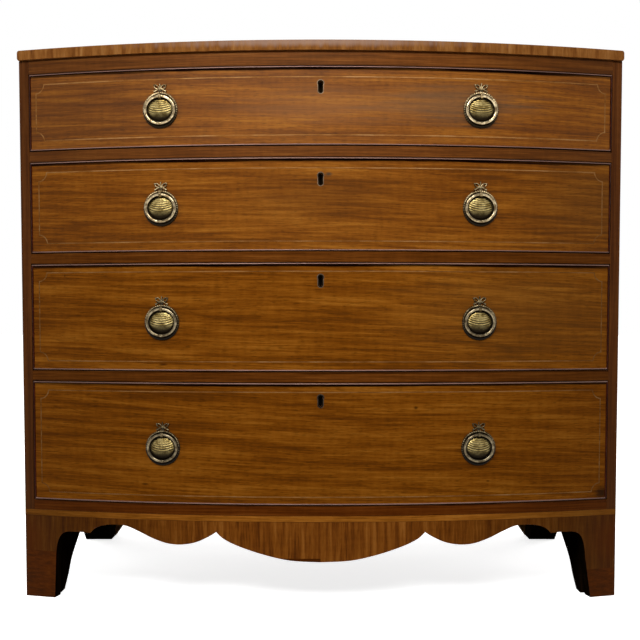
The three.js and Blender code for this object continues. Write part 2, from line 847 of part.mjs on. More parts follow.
function drawer(i) {
  const group = new THREE.Group();
  const name = `drawer_${i + 1}`;
  place(group, `${name}_front`, drawerFront(i), finish.mahogany);
  place(group, `${name}_cockbead`, cockbead(i), finish.bead);
  place(group, `${name}_side_left`, drawerSide(i, -1), finish.oak);
  place(group, `${name}_side_right`, drawerSide(i, 1), finish.oak);
  place(group, `${name}_back`, drawerBack(i), finish.oak);
  place(group, `${name}_bottom`, drawerBottom(), finish.pine);
  place(group, `${name}_lock`, lockCase(i), finish.brass);
  place(group, `${name}_lock_bolt`, lockBolt(i), finish.steel);
  for (const [side, word] of [
    [-1, "left"],
    [1, "right"],
  ]) {
    const handle = new THREE.Group();
    const { position, turn } = handlePlace(i, side);
    handle.position.set(...position);
    handle.rotation.z = turn;
    place(handle, `${name}_plate_${word}`, handlePlate(), finish.brass);
    place(handle, `${name}_ring_${word}`, handleRing(), finish.brass);
    group.add(handle);
  }
  group.position.z = drawerLevels[i];
  return group;
}

function carcass() {
  const group = new THREE.Group();
  place(group, "top_board", topBoard(), finish.mahogany);
  place(group, "side_left", sidePanel(-1), finish.darkMahogany);
  place(group, "side_right", sidePanel(1), finish.darkMahogany);
  place(group, "top_rail", topRail(), finish.mahogany);
  for (let i = 0; i < dividerLevels.length; i += 1)
    place(group, `divider_${i + 1}`, divider(i), finish.mahogany);
  place(group, "bottom_board", bottomBoard(), finish.mahogany);
  place(group, "back_panel", backPanel(), finish.pine);
  place(group, "front_apron", frontApron(), finish.mahogany);
  place(group, "side_apron_left", sideApron(-1), finish.mahogany);
  place(group, "side_apron_right", sideApron(1), finish.mahogany);
  return group;
}

const chest = new THREE.Group();
chest.add(carcass());
for (let i = 0; i < drawerHeights.length; i += 1) chest.add(drawer(i));
chest.position.y = (bowRise + topFrontOverhang - sideDepth) / 2;

export default chest;
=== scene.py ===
"""Bow front chest of four long drawers: its finishes and fine forms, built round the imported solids.

All lengths are in metres. +X is right, the bowed front faces -Y, and +Z is up from the floor.
"""

from __future__ import annotations

import json
import logging
import math
from collections.abc import Callable, Iterable, Iterator, Mapping, Sequence
from contextlib import contextmanager
from dataclasses import dataclass, replace
from enum import Enum

import bmesh
import bpy
from bpy.types import Material, Node, NodeSocket, NodeTree, Object
from mathutils import Matrix, Vector

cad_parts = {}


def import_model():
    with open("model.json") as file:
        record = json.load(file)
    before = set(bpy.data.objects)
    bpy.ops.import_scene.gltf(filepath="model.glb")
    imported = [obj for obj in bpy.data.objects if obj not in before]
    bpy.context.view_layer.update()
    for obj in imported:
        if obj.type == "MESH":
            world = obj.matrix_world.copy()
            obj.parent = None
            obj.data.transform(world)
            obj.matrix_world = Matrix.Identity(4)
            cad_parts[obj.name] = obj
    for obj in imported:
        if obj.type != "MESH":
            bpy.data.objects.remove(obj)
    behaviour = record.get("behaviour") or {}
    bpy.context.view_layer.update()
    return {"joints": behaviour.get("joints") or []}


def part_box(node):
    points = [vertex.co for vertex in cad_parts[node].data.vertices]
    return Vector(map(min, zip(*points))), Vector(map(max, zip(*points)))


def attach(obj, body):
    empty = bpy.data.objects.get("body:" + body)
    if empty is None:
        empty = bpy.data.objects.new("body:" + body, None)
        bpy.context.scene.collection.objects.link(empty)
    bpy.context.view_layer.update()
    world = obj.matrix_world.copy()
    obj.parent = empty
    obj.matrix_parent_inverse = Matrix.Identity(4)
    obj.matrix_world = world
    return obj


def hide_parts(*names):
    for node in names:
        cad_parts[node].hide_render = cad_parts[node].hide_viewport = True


LOG = logging.getLogger("chest")
MM = 0.001
Pair = tuple[float, float]
Triple = tuple[float, float, float]
Colour = tuple[float, float, float, float]
# A point is a place. A station is a place along a line, with a height or another measure there.
Point = Triple
Station = Pair
Test = Callable[[Vector, Vector], bool]

# Columns of a finished bowed face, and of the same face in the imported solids.
FINE_COLUMNS = 64
NODE_COLUMNS = 16
# Length left over at each end of flat work, until its ends are cut.
SPARE = 25 * MM
# Places closer than this are the same.
SAME_PLACE = 0.005 * MM
# Faces closer than this to the arc of the front lie on it.
ON_ARC = 0.5 * MM
# A direction whose share along an axis is more than this runs along it.
ALONG = 0.9
# The same for a face that looks more forwards than anywhere else.
FORWARDS = 0.4
SHARP_ANGLE = math.radians(32)
FLAT_ANGLE = math.radians(0.3)
# Less than this share, and a face only just looks towards the axis.
SLIGHTLY = 0.3
WHITE = "#ffffff"
BLACK = "#000000"
# Painted shadow: the near-black line that each cockbead throws below it, and the brown painted shade
# along the gap over a drawer's upper bead.
SHADOW_BLACK = "#080100"
GAP_SHADE_BROWN = "#2c1006"


class Pick(Enum):
    """What a selection in edit mode is made of."""

    CORNERS = "VERT"
    EDGES = "EDGE"
    FACES = "FACE"


def linear(code: str) -> Colour:
    """Turns an sRGB hex value into a linear colour.

    Args:
        code: The colour as "#rrggbb".

    Returns:
        Red, green, blue and a full alpha.
    """
    shares = [int(code[i : i + 2], 16) / 255 for i in (1, 3, 5)]
    red, green, blue = (c / 12.92 if c <= 0.04045 else ((c + 0.055) / 1.055) ** 2.4 for c in shares)
    return red, green, blue, 1.0


def feed(target: Node, inputs: Mapping[str | int, object]) -> None:
    """Gives a node's inputs, by name or number, their values or links them to the outputs given."""
    for name, value in inputs.items():
        if isinstance(value, NodeSocket):
            target.id_data.links.new(value, target.inputs[name])
        else:
            target.inputs[name].default_value = value


def node(
    tree: NodeTree,
    kind: str,
    inputs: Mapping[str | int, object] | None = None,
    **settings: object,
) -> Node:
    """Adds a node with its settings, its input values and its links.

    Args:
        tree: The tree that the node goes into.
        kind: The shader node's Blender type, without the words in front that all share.
        inputs: Input name or number to a value, or to the output that is linked to it.
        settings: Properties of the node, and stops as (position, hex) pairs for a colour ramp.

    Returns:
        The new node.
    """
    made = tree.nodes.new(f"ShaderNode{kind}")
    stops = settings.pop("stops", None)
    if stops:
        ramp = made.color_ramp.elements
        while len(ramp) < len(stops):
            ramp.new(0.5)
        for element, (position, code) in zip(ramp, stops):
            element.position = position
            element.color = linear(code)
    for name, value in settings.items():
        setattr(made, name, value)
    feed(made, inputs or {})
    return made


def new_finish(name: str) -> tuple[Material, NodeTree, Node]:
    """Makes an empty material, and gives it back with its tree and its shader."""
    material = bpy.data.materials.new(name)
    material.use_nodes = True
    return material, material.node_tree, material.node_tree.nodes["Principled BSDF"]


def alone(piece: Object) -> None:
    """Selects one object, makes it the active one and leaves every other unselected."""
    bpy.ops.object.select_all(action="DESELECT")
    piece.select_set(True)
    bpy.context.view_layer.objects.active = piece


@contextmanager
def editing(piece: Object) -> Iterator[None]:
    """Opens a piece in edit mode with nothing selected, and closes it again.

    Args:
        piece: The mesh object to edit.
    """
    alone(piece)
    bpy.ops.object.mode_set(mode="EDIT")
    bpy.ops.mesh.select_all(action="DESELECT")
    yield
    bpy.ops.object.mode_set(mode="OBJECT")


def pick(piece: Object, kind: Pick, test: Test) -> None:
    """Selects the corners, edges or faces that pass a test, and nothing else.

    Args:
        piece: The mesh object, in edit mode.
        kind: What is selected.
        test: Takes the middle of each, and its normal or an edge's direction.
    """
    bpy.ops.mesh.select_mode(type=kind.value)
    bpy.ops.mesh.select_all(action="DESELECT")
    mesh = bmesh.from_edit_mesh(piece.data)
    chosen = []
    if kind is Pick.FACES:
        chosen = [face for face in mesh.faces if test(face.calc_center_median(), face.normal)]
    elif kind is Pick.CORNERS:
        chosen = [corner for corner in mesh.verts if test(corner.co, corner.normal)]
    else:
        for edge in mesh.edges:
            first, last = (corner.co for corner in edge.verts)
            if test((first + last) / 2, (last - first).normalized()):
                chosen.append(edge)
    for element in chosen:
        element.select_set(True)
    bmesh.update_edit_mesh(piece.data)


def settle(piece: Object) -> Object:
    """Puts a piece's place, turn and scale into its mesh and its object at the origin."""
    alone(piece)
    bpy.ops.object.transform_apply(location=True, rotation=True, scale=True)
    return piece


def named(name: str, scale: Point = (1.0, 1.0, 1.0)) -> Object:
    """Names the primitive that was just added, gives it a scale along its own axes, and settles it."""
    piece = bpy.context.active_object
    piece.scale = scale
    piece.name = name
    piece.data.name = name
    return settle(piece)


def add_block(name: str, low: Point, high: Point) -> Object:
    """Adds a block between two corners.

    Args:
        name: The piece's name.
        low: Its lowest corner.
        high: Its highest corner.

    Returns:
        The new piece.
    """
    middle = [(a + b) / 2 for a, b in zip(low, high)]
    size = [b - a for a, b in zip(low, high)]
    bpy.ops.mesh.primitive_cube_add(size=1, location=middle)
    return named(name, size)


def modify(piece: Object, kind: str, **settings: object) -> None:
    """Adds a modifier with its settings and applies it.

    Args:
        piece: The mesh object.
        kind: The modifier's Blender type.
        settings: Its properties.
    """
    modifier = piece.modifiers.new(kind.title(), kind)
    for name, value in settings.items():
        setattr(modifier, name, value)
    alone(piece)
    bpy.ops.object.modifier_apply(modifier=modifier.name)


def smooth(piece: Object, angle: float = SHARP_ANGLE) -> None:
    """Smooths a piece's shading over every edge that is flatter than an angle."""
    alone(piece)
    bpy.ops.object.shade_smooth_by_angle(angle=angle)


def round_edges(piece: Object, width: float, segments: int) -> None:
    """Rounds the sharp edges of a piece, in so many steps over a width."""
    settings = {"width": width, "segments": segments, "angle_limit": SHARP_ANGLE}
    modify(piece, "BEVEL", limit_method="ANGLE", **settings)


def soften(piece: Object, width: float, segments: int = 2) -> Object:
    """Rounds the sharp edges of a piece and smooths its shading without bending its flat faces.

    Args:
        piece: The mesh object.
        width: How far the rounding reaches from each edge.
        segments: Steps of the rounding.

    Returns:
        The same piece.
    """
    round_edges(piece, width, segments)
    smooth(piece)
    modify(piece, "WEIGHTED_NORMAL", keep_sharp=True)
    return piece


def score(piece: Object, axis: Point, places: Iterable[float]) -> None:
    """Divides a piece's faces along planes square to an axis, a unit long, at places on it."""
    with editing(piece):
        for place in places:
            bpy.ops.mesh.select_all(action="SELECT")
            bpy.ops.mesh.bisect(plane_co=place * Vector(axis), plane_no=axis)


def thicken(piece: Object, shift: Point) -> None:
    """Gives a flat piece its thickness by extruding it, and turns all of its faces outwards."""
    with editing(piece):
        bpy.ops.mesh.select_all(action="SELECT")
        bpy.ops.mesh.extrude_region_move(TRANSFORM_OT_translate={"value": shift})
        bpy.ops.mesh.select_all(action="SELECT")
        bpy.ops.mesh.normals_make_consistent(inside=False)


def trim(piece: Object, point: Point, outwards: Point) -> None:
    """Cuts off what lies beyond a plane, on the side that its normal points to, and closes the cut."""
    with editing(piece):
        bpy.ops.mesh.select_all(action="SELECT")
        bpy.ops.mesh.bisect(plane_co=point, plane_no=outwards, use_fill=True, clear_outer=True)


def joined(name: str, pieces: Sequence[Object]) -> Object:
    """Joins pieces into the first of them.

    Args:
        name: The name of the whole.
        pieces: The mesh objects, which become one.

    Returns:
        The joined piece.
    """
    alone(pieces[0])
    for piece in pieces:
        piece.select_set(True)
    bpy.ops.object.join()
    return named(name)


def dress(piece: Object, *materials: Material) -> None:
    """Gives a piece its materials, in the order of its faces' material numbers."""
    piece.data.materials.clear()
    for material in materials:
        piece.data.materials.append(material)


def paint(piece: Object, number: int, test: Test) -> None:
    """Gives the faces whose middle and normal pass a test a material number."""
    for face in piece.data.polygons:
        if test(face.center, face.normal):
            face.material_index = number


def seat(piece: Object, body: str, slot: str, *nodes: str) -> None:
    """Fastens a piece to the body it moves with and hides the nodes that it stands for.

    Args:
        piece: The finished piece.
        body: The body it rides on.
        slot: The record's material slot. It is not used.
        nodes: The nodes it replaces.
    """
    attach(piece, body)
    if nodes:
        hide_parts(*nodes)
    LOG.info("%s: %d faces on %s", piece.name, len(piece.data.polygons), body)


def smooth_line(points: Sequence[Station], steps: int) -> list[Station]:
    """Draws a smooth curve through points.

    Args:
        points: The points that it passes.
        steps: Steps between each two of them.

    Returns:
        The points of the curve, ends included.
    """
    line = [points[0]]
    last = len(points) - 1
    for i in range(last):
        before, after = points[max(i - 1, 0)], points[min(i + 2, last)]
        start, end = points[i], points[i + 1]
        for k in range(1, steps + 1):
            t = k / steps
            place = []
            for a, b, c, d in zip(before, start, end, after):
                leave, arrive = (c - a) / 2, (d - b) / 2
                cubic = (2 * b - 2 * c + leave + arrive) * t**3
                place.append(cubic + (3 * c - 3 * b - 2 * leave - arrive) * t**2 + leave * t + b)
            line.append((place[0], place[1]))
    return line


def clipped(line: Sequence[Station], start: float, end: float) -> list[Station]:
    """Keeps the stretch of a line between two places, with new ends on the line.

    Args:
        line: Points in rising order of their first value.
        start: Where the stretch starts.
        end: Where it ends.

    Returns:
        The points of the stretch.
    """

    def at(place: float) -> Station:
        """The point of the line at a place."""
        for (u0, v0), (u1, v1) in zip(line, line[1:]):
            if u0 <= place <= u1 and u1 > u0:
                return place, v0 + (v1 - v0) * (place - u0) / (u1 - u0)
        return place, line[-1][1]

    return [at(start), *(p for p in line if start < p[0] < end), at(end)]


class Facing(Enum):
    """The way the face of a shaped board looks."""

    FRONT = (0.0, 1.0)
    SIDE = (1.0, 0.0)


def add_shaped_board(
    name: str,
    line: Sequence[Station],
    top: float,
    near: float,
    far: float,
    facing: Facing,
) -> Object:
    """Makes an upright board with a straight top, from a grid drawn to the line of its lower edge.

    Args:
        name: The piece's name.
        line: Places along the board, each with the height of its lower edge.
        top: Height of the top edge.
        near: Where one face lies.
        far: Where the other face lies.
        facing: The way the faces look.

    Returns:
        The new piece.
    """
    bpy.ops.mesh.primitive_grid_add(x_subdivisions=len(line) - 1, y_subdivisions=1, size=1)
    piece = named(name)
    for corner, (place, foot) in zip(piece.data.vertices, [*line, *((u, top) for u, _ in line)]):
        corner.co = (place, near, foot) if facing is Facing.FRONT else (near, place, foot)
    thicken(piece, (far - near) * Vector((*facing.value, 0.0)))
    return piece


def turned(name: str, rings: Sequence[Station], sides: int, oval: Sequence[float]) -> Object:
    """Makes a turned shape that faces -Y, ring by ring from its back, by extruding a circle.

    Args:
        name: The piece's name.
        rings: Radius of each ring and how far it stands out. The last one closes on the axis.
        sides: Corners of each ring.
        oval: Each ring's height as a share of its width.

    Returns:
        The new piece.
    """
    (radius, out), share = rings[0], oval[0]
    bpy.ops.mesh.primitive_circle_add(
        vertices=sides,
        radius=radius,
        location=(0, -out, 0),
        rotation=(math.pi / 2, 0, 0),
        fill_type="NOTHING",
    )
    piece = named(name, (1, share, 1))
    with editing(piece):
        bpy.ops.mesh.select_mode(type=Pick.EDGES.value)
        bpy.ops.mesh.select_all(action="SELECT")
        bpy.ops.mesh.edge_face_add()
        bpy.ops.mesh.select_mode(type=Pick.EDGES.value)
        bpy.ops.mesh.select_all(action="SELECT")
        for (wide, far), tall in zip(rings[1:], oval[1:]):
            bpy.ops.mesh.extrude_edges_move(TRANSFORM_OT_translate={"value": (0, out - far, 0)})
            growth = (wide / radius, 1, wide * tall / (radius * share))
            bpy.ops.transform.resize(value=growth, center_override=(0, 0, 0))
            radius, out, share = wide, far, tall
        bpy.ops.mesh.merge(type="CENTER")
        bpy.ops.mesh.select_all(action="SELECT")
        bpy.ops.mesh.normals_make_consistent(inside=False)
    return piece


@dataclass(frozen=True)
class Bow:
    """The arc that every front follows, seen from above.

    Attributes:
        half_width: Half of the width between the front corners.
        rise: How far the middle stands out from the line between the corners.
        corner_y: Where that line lies.
    """

    half_width: float
    rise: float
    corner_y: float

    @property
    def radius(self) -> float:
        """The radius of the arc."""
        return (self.half_width**2 + self.rise**2) / (2 * self.rise)

    @property
    def apex_y(self) -> float:
        """Where the middle of the front lies."""
        return self.corner_y - self.rise

    @property
    def centre_y(self) -> float:
        """Where the middle of the arc's circle lies."""
        return self.apex_y + self.radius

    def along(self, x: float, outward: float = 0.0) -> float:
        """Where a point lies on the flat work that bending brings to x, so far out from the arc."""
        return self.radius * math.asin(x / (self.radius + outward))

    def shows(self, middle: Vector, normal: Vector) -> bool:
        """Tells whether a face looks forwards and lies on the arc, where the veneer is."""
        away = math.hypot(middle.x, middle.y - self.centre_y)
        return normal.y < -FORWARDS and abs(away - self.radius) < ON_ARC

    def columns(self, piece: Object, count: int) -> None:
        """Divides flat work into so many columns, by its long level edges, which cross the middle."""
        with editing(piece):
            pick(piece, Pick.EDGES, lambda middle, way: abs(middle.x) < MM and abs(way.x) > ALONG)
            bpy.ops.mesh.subdivide(number_cuts=count - 1)

    def bend(self, piece: Object) -> None:
        """Bends flat work, whose outer face lies in the plane y = 0, round the arc."""
        across = [corner.co.x for corner in piece.data.vertices]
        angle = (max(across) - min(across)) / self.radius
        modify(piece, "SIMPLE_DEFORM", deform_method="BEND", deform_axis="Z", angle=angle)
        piece.location.y = self.apex_y
        settle(piece)

    def trim_ends(self, piece: Object, half: float) -> None:
        """Cuts both ends of a bent piece square, half a length from the middle."""
        for side in (-1, 1):
            trim(piece, (side * half, 0, 0), (side, 0, 0))

    def refine(self, piece: Object, half: float, outwards: Sequence[float]) -> None:
        """Divides a faceted piece into columns and moves their corners out to the true arc.

        Args:
            piece: A merged copy of a node.
            half: Half of the piece's length.
            outwards: The surfaces that follow the arc, by how far each stands out from it.
        """
        step = 2 * half / FINE_COLUMNS
        score(piece, (1, 0, 0), (k * step - half for k in range(1, FINE_COLUMNS)))
        facet = 2 * half / NODE_COLUMNS
        sag = facet**2 / (8 * self.radius) + SAME_PLACE
        for corner in piece.data.vertices:
            away = math.hypot(corner.co.x, corner.co.y - self.centre_y)
            for outward in outwards:
                radius = self.radius + outward
                if -SAME_PLACE < radius - away < sag:
                    corner.co.y = self.centre_y - math.sqrt(radius**2 - corner.co.x**2)
                    break


def node_copy(source: str, name: str) -> Object:
    """Copies a node's mesh into a new piece, with its triangles merged into whole flat faces.

    Args:
        source: The node's name.
        name: The piece's name.

    Returns:
        The new piece.
    """
    mesh = bpy.data.objects[source].data.copy()
    mesh.name = name
    piece = bpy.data.objects.new(name, mesh)
    bpy.context.scene.collection.objects.link(piece)
    shading = {"custom_normal", "sharp_face", "sharp_edge"}.intersection(mesh.attributes.keys())
    for attribute in sorted(shading):
        mesh.attributes.remove(mesh.attributes[attribute])
    with editing(piece):
        bpy.ops.mesh.select_all(action="SELECT")
        bpy.ops.mesh.remove_doubles(threshold=SAME_PLACE)
        bpy.ops.mesh.select_all(action="SELECT")
        bpy.ops.mesh.dissolve_limited(angle_limit=FLAT_ANGLE)
    return piece


class Grain(Enum):
    """The way the fibres run."""

    ALONG_BOW = "level, in a thin sheet laid on the bow"
    ACROSS_WIDTH = "level, in a board as wide as the chest"
    UPRIGHT = "up and down"
    INWARD = "from front to back"

    def stretch(self, length: float, width: float) -> Point:
        """Scale of a pattern whose marks are so long along the fibres and so wide across them.

        Args:
            length: Length of a mark.
            width: Width of a mark.

        Returns:
            The scale along X, Y and Z.
        """
        sheet_depth = 0.6
        scales = {
            Grain.ALONG_BOW: (1 / length, 1 / sheet_depth, 1 / width),
            Grain.ACROSS_WIDTH: (1 / length, 1 / width, 1 / width),
            Grain.UPRIGHT: (1 / width, 1 / width, 1 / length),
            Grain.INWARD: (1 / width, 1 / length, 1 / width),
        }
        return scales[self]


# A mark reaches this deep into the chest, in metres, so that it shows on the whole bow.
MARK_DEPTH = 10.0
# How much the streaks fray a mark's edge, and between which reaches it fades.
MARK_FRAY = 1.3
MARK_EDGE = (0.75, 1.7)


@dataclass(frozen=True)
class Mark:
    """A stain, knot or streak in a veneer, soft at its edge. Some marks are painted shadows, shade,
    highlights and reflections.

    Attributes:
        x: Its place across the chest.
        z: Its height above the floor.
        length: Half of its length.
        height: Half of its height.
        colour: Its sRGB hex value.
        strength: How much of the wood it hides, from 0 to 1.
        matt: How much of the polish's reflections it hides, from 0 to 1.
    """

    x: float
    z: float
    length: float
    height: float
    colour: str
    strength: float
    matt: float = 0.0

    def cover(self, tree: NodeTree, place: NodeSocket, streaks: NodeSocket) -> NodeSocket:
        """Adds the nodes that tell how much of the wood the mark hides.

        Args:
            tree: The material's tree.
            place: The output with the place on the chest.
            streaks: The output with the wood's streaks.

        Returns:
            The output with the share that is hidden.
        """
        lie = {
            "Vector": place,
            "Location": (self.x, 0, self.z),
            "Scale": (self.length, MARK_DEPTH, self.height),
        }
        spot = node(tree, "Mapping", lie, vector_type="TEXTURE").outputs[0]
        away = node(tree, "VectorMath", {0: spot}, operation="LENGTH").outputs["Value"]
        frayed = {0: streaks, 1: MARK_FRAY, 2: away}
        reach = node(tree, "Math", frayed, operation="MULTIPLY_ADD").outputs[0]
        near, far = MARK_EDGE
        fade = {"Value": reach, "From Min": near, "From Max": far}
        fade |= {"To Min": self.strength, "To Max": 0.0}
        return node(tree, "MapRange", fade, interpolation_type="SMOOTHSTEP").outputs["Result"]


@dataclass(frozen=True)
class Shade:
    """Darkening of a finish towards one side: painted shade where the light falls off, partly also
    darker old polish.

    Attributes:
        axis: "X" for towards both ends, or "Z" for towards the floor.
        start: Where it starts.
        full: Where it is full.
        strength: How much it darkens there, from 0 to 1.
    """

    axis: str
    start: float
    full: float
    strength: float

    def over(self, tree: NodeTree, place: NodeSocket, colour: NodeSocket) -> NodeSocket:
        """Lays the shade over a colour.

        Args:
            tree: The material's tree.
            place: The output with the place on the chest.
            colour: The output with the colour.

        Returns:
            The output with the shaded colour.
        """
        parts = node(tree, "SeparateXYZ", {0: place}).outputs
        reach = node(tree, "Math", {0: parts[self.axis]}, operation="ABSOLUTE").outputs[0]
        fade = {"Value": reach, "From Min": self.start, "From Max": self.full}
        fade |= {"To Min": 1.0, "To Max": 1.0 - self.strength}
        dark = node(tree, "MapRange", fade, interpolation_type="SMOOTHSTEP").outputs["Result"]
        layer = {0: 1.0, 6: colour, 7: dark}
        return node(tree, "Mix", layer, data_type="RGBA", blend_type="MULTIPLY").outputs[2]


# The noises that a wood's figure is made of.
DRIFT_NOISE = {"Detail": 2.0}
STREAK_NOISE = {"Detail": 5.0, "Roughness": 0.58, "Distortion": 0.25}
HAIR_NOISE = {"Detail": 3.0, "Roughness": 0.6}
RIBBON_NOISE = {"Detail": 2.5, "Roughness": 0.5}
MOTTLE_NOISE = {"Detail": 2.0}
PORE_NOISE = {"Detail": 3.0}
# How many hair lines and broad stripes go to a streak, along X and across it.
HAIR_SCALE = (2.3, 3.1, 3.1)
RIBBON_SCALE = (0.55, 0.27, 0.27)
# Length and width of the short bars that cross the grain.
BAR_SIZE = (9 * MM, 38 * MM)
# A line of grain wanders over so many lengths and widths of a streak, and less along X.
WANDER_SIZE = (2.2, 16.0)
WANDER_ALONG = 0.3
# Moves the pattern for each whole step of the seed.
SEED_SHIFT = Vector((3.1, 1.7, 5.3))
TONE_STOPS = (0.27, 0.43, 0.57, 0.76)
PORE_EDGE = (0.3, 0.48)
# How much the streaks roughen the polish and raise the grain, and the strength of the relief.
STREAK_BLUR = 0.2
STREAK_RISE = 0.5
RELIEF_STRENGTH = 0.6


@dataclass(frozen=True)
class Timber:
    """A wood finish: its colours, the size of its figure, and its polish.

    Attributes:
        tones: sRGB hex values from its darkest streaks to its lightest.
        streak: Length and width of its streaks.
        drift: How far a line of grain wanders, in widths of a streak.
        line: Weight of the streaks themselves.
        ribbon: Weight of the broad stripes, four streaks wide.
        mottle: Weight of the short bars that cross the grain.
        hair: Weight of the hair lines, a third of a streak wide.
        slope: How steeply the grain falls to the right, in radians.
        pore: Length and width of its open pores.
        pore_depth: How dark the pores are, from 0 to 1.
        specular: The shader's specular level.
        sheen_tint: Colour of its reflections, as old polish warms them.
        relief: Height of its pores and ridges.
    """

    name: str
    tones: tuple[str, str, str, str]
    grain: Grain
    streak: Pair = (150 * MM, 4.5 * MM)
    drift: float = 2.2
    line: float = 1.0
    ribbon: float = 0.5
    mottle: float = 0.16
    hair: float = 0.3
    slope: float = 0.0
    pore: Pair = (14 * MM, 1.1 * MM)
    pore_depth: float = 0.25
    roughness: float = 0.42
    specular: float = 0.22
    sheen_tint: str = "#c87c30"
    relief: float = 0.12 * MM

    def material(
        self,
        seed: float = 0.0,
        marks: Sequence[Mark] = (),
        shades: Sequence[Shade] = (),
    ) -> Material:
        """Builds the finish.

        Args:
            seed: Moves the pattern, so that no two boards are alike.
            marks: Stains and knots, and painted shadows, shade, highlights and reflections.
            shades: Where the wood darkens.

        Returns:
            The new material.
        """
        material, tree, surface = new_finish(self.name)
        place = node(tree, "TexCoord").outputs["Object"]
        figure = self.figure(tree, place, SEED_SHIFT * seed)
        colour = self.ground(tree, figure)
        haze: NodeSocket | Colour = linear(self.sheen_tint)
        for mark in marks:
            cover = mark.cover(tree, place, figure["streaks"])
            layer = {0: cover, 6: colour, 7: linear(mark.colour)}
            colour = node(tree, "Mix", layer, data_type="RGBA").outputs[2]
            if mark.matt:
                share = {0: cover, 1: mark.matt}
                lost = node(tree, "Math", share, operation="MULTIPLY").outputs[0]
                layer = {0: lost, 6: haze, 7: linear(BLACK)}
                haze = node(tree, "Mix", layer, data_type="RGBA").outputs[2]
        for shade in shades:
            colour = shade.over(tree, place, colour)
        blur = {0: figure["streaks"], 1: STREAK_BLUR, 2: self.roughness - STREAK_BLUR / 2}
        rough = node(tree, "Math", blur, operation="MULTIPLY_ADD").outputs[0]
        rise = {0: figure["streaks"], 1: STREAK_RISE, 2: figure["pores"]}
        height = node(tree, "Math", rise, operation="MULTIPLY_ADD").outputs[0]
        relief = {"Height": height, "Distance": self.relief, "Strength": RELIEF_STRENGTH}
        polish = {
            "Base Color": colour,
            "Roughness": rough,
            "Normal": node(tree, "Bump", relief).outputs[0],
            "Specular Tint": haze,
            "Specular IOR Level": self.specular,
        }
        feed(surface, polish)
        return material

    def figure(self, tree: NodeTree, place: NodeSocket, shift: Vector) -> dict[str, NodeSocket]:
        """Adds the noises that the wood's figure is made of.

        Args:
            tree: The material's tree.
            place: The output with the place on the chest.
            shift: How far the pattern is moved.

        Returns:
            The output of each, by its name.
        """
        slope = {"Vector": place, "Rotation": (0, -self.slope, 0)}
        sloped = node(tree, "Mapping", slope).outputs[0]
        length, width = self.streak
        far, wide = WANDER_SIZE
        slow = self.grain.stretch(length * far, width * wide)
        lie = node(tree, "Mapping", {"Vector": sloped, "Location": shift, "Scale": slow})
        wander = {"Vector": lie.outputs[0], "Scale": 1.0, **DRIFT_NOISE}
        wandering = node(tree, "TexNoise", wander).outputs["Color"]
        quick = self.grain.stretch(length, width)
        lie = node(tree, "Mapping", {"Vector": sloped, "Location": shift, "Scale": quick})
        drift = (self.drift * WANDER_ALONG, self.drift, self.drift)
        line = {0: wandering, 1: drift, 2: lie.outputs[0]}
        drifted = node(tree, "VectorMath", line, operation="MULTIPLY_ADD").outputs[0]
        bars, holes = self.grain.stretch(*BAR_SIZE), self.grain.stretch(*self.pore)
        layers = {
            "streaks": ({"Vector": drifted}, STREAK_NOISE),
            "ribbons": ({"Vector": drifted, "Scale": RIBBON_SCALE}, RIBBON_NOISE),
            "mottle": ({"Vector": place, "Location": shift, "Scale": bars}, MOTTLE_NOISE),
            "hairs": ({"Vector": drifted, "Scale": HAIR_SCALE}, HAIR_NOISE),
            "pores": ({"Vector": place, "Location": shift, "Scale": holes}, PORE_NOISE),
        }
        figure = {}
        for name, (lie, noise) in layers.items():
            vector = node(tree, "Mapping", lie).outputs[0]
            inputs = {"Vector": vector, "Scale": 1.0, **noise}
            figure[name] = node(tree, "TexNoise", inputs).outputs["Fac"]
        return figure

    def ground(self, tree: NodeTree, figure: Mapping[str, NodeSocket]) -> NodeSocket:
        """Adds the nodes that turn the figure into the colour of clean wood.

        Args:
            tree: The material's tree.
            figure: The output of each noise, by its name.

        Returns:
            The output with the colour.
        """
        weights = {
            "streaks": self.line,
            "ribbons": self.ribbon,
            "mottle": self.mottle,
            "hairs": self.hair,
        }
        tone: NodeSocket | float = 0.5 - sum(weights.values()) / 2
        for name, weight in weights.items():
            added = {0: figure[name], 1: weight, 2: tone}
            tone = node(tree, "Math", added, operation="MULTIPLY_ADD").outputs[0]
        stops = list(zip(TONE_STOPS, self.tones))
        colour = node(tree, "ValToRGB", {"Fac": tone}, stops=stops).outputs["Color"]
        low, high = PORE_EDGE
        fade = {"Value": figure["pores"], "From Min": low, "From Max": high}
        fade |= {"To Min": 1.0 - self.pore_depth, "To Max": 1.0}
        dip = node(tree, "MapRange", fade).outputs["Result"]
        layer = {0: 1.0, 6: colour, 7: dip}
        return node(tree, "Mix", layer, data_type="RGBA", blend_type="MULTIPLY").outputs[2]


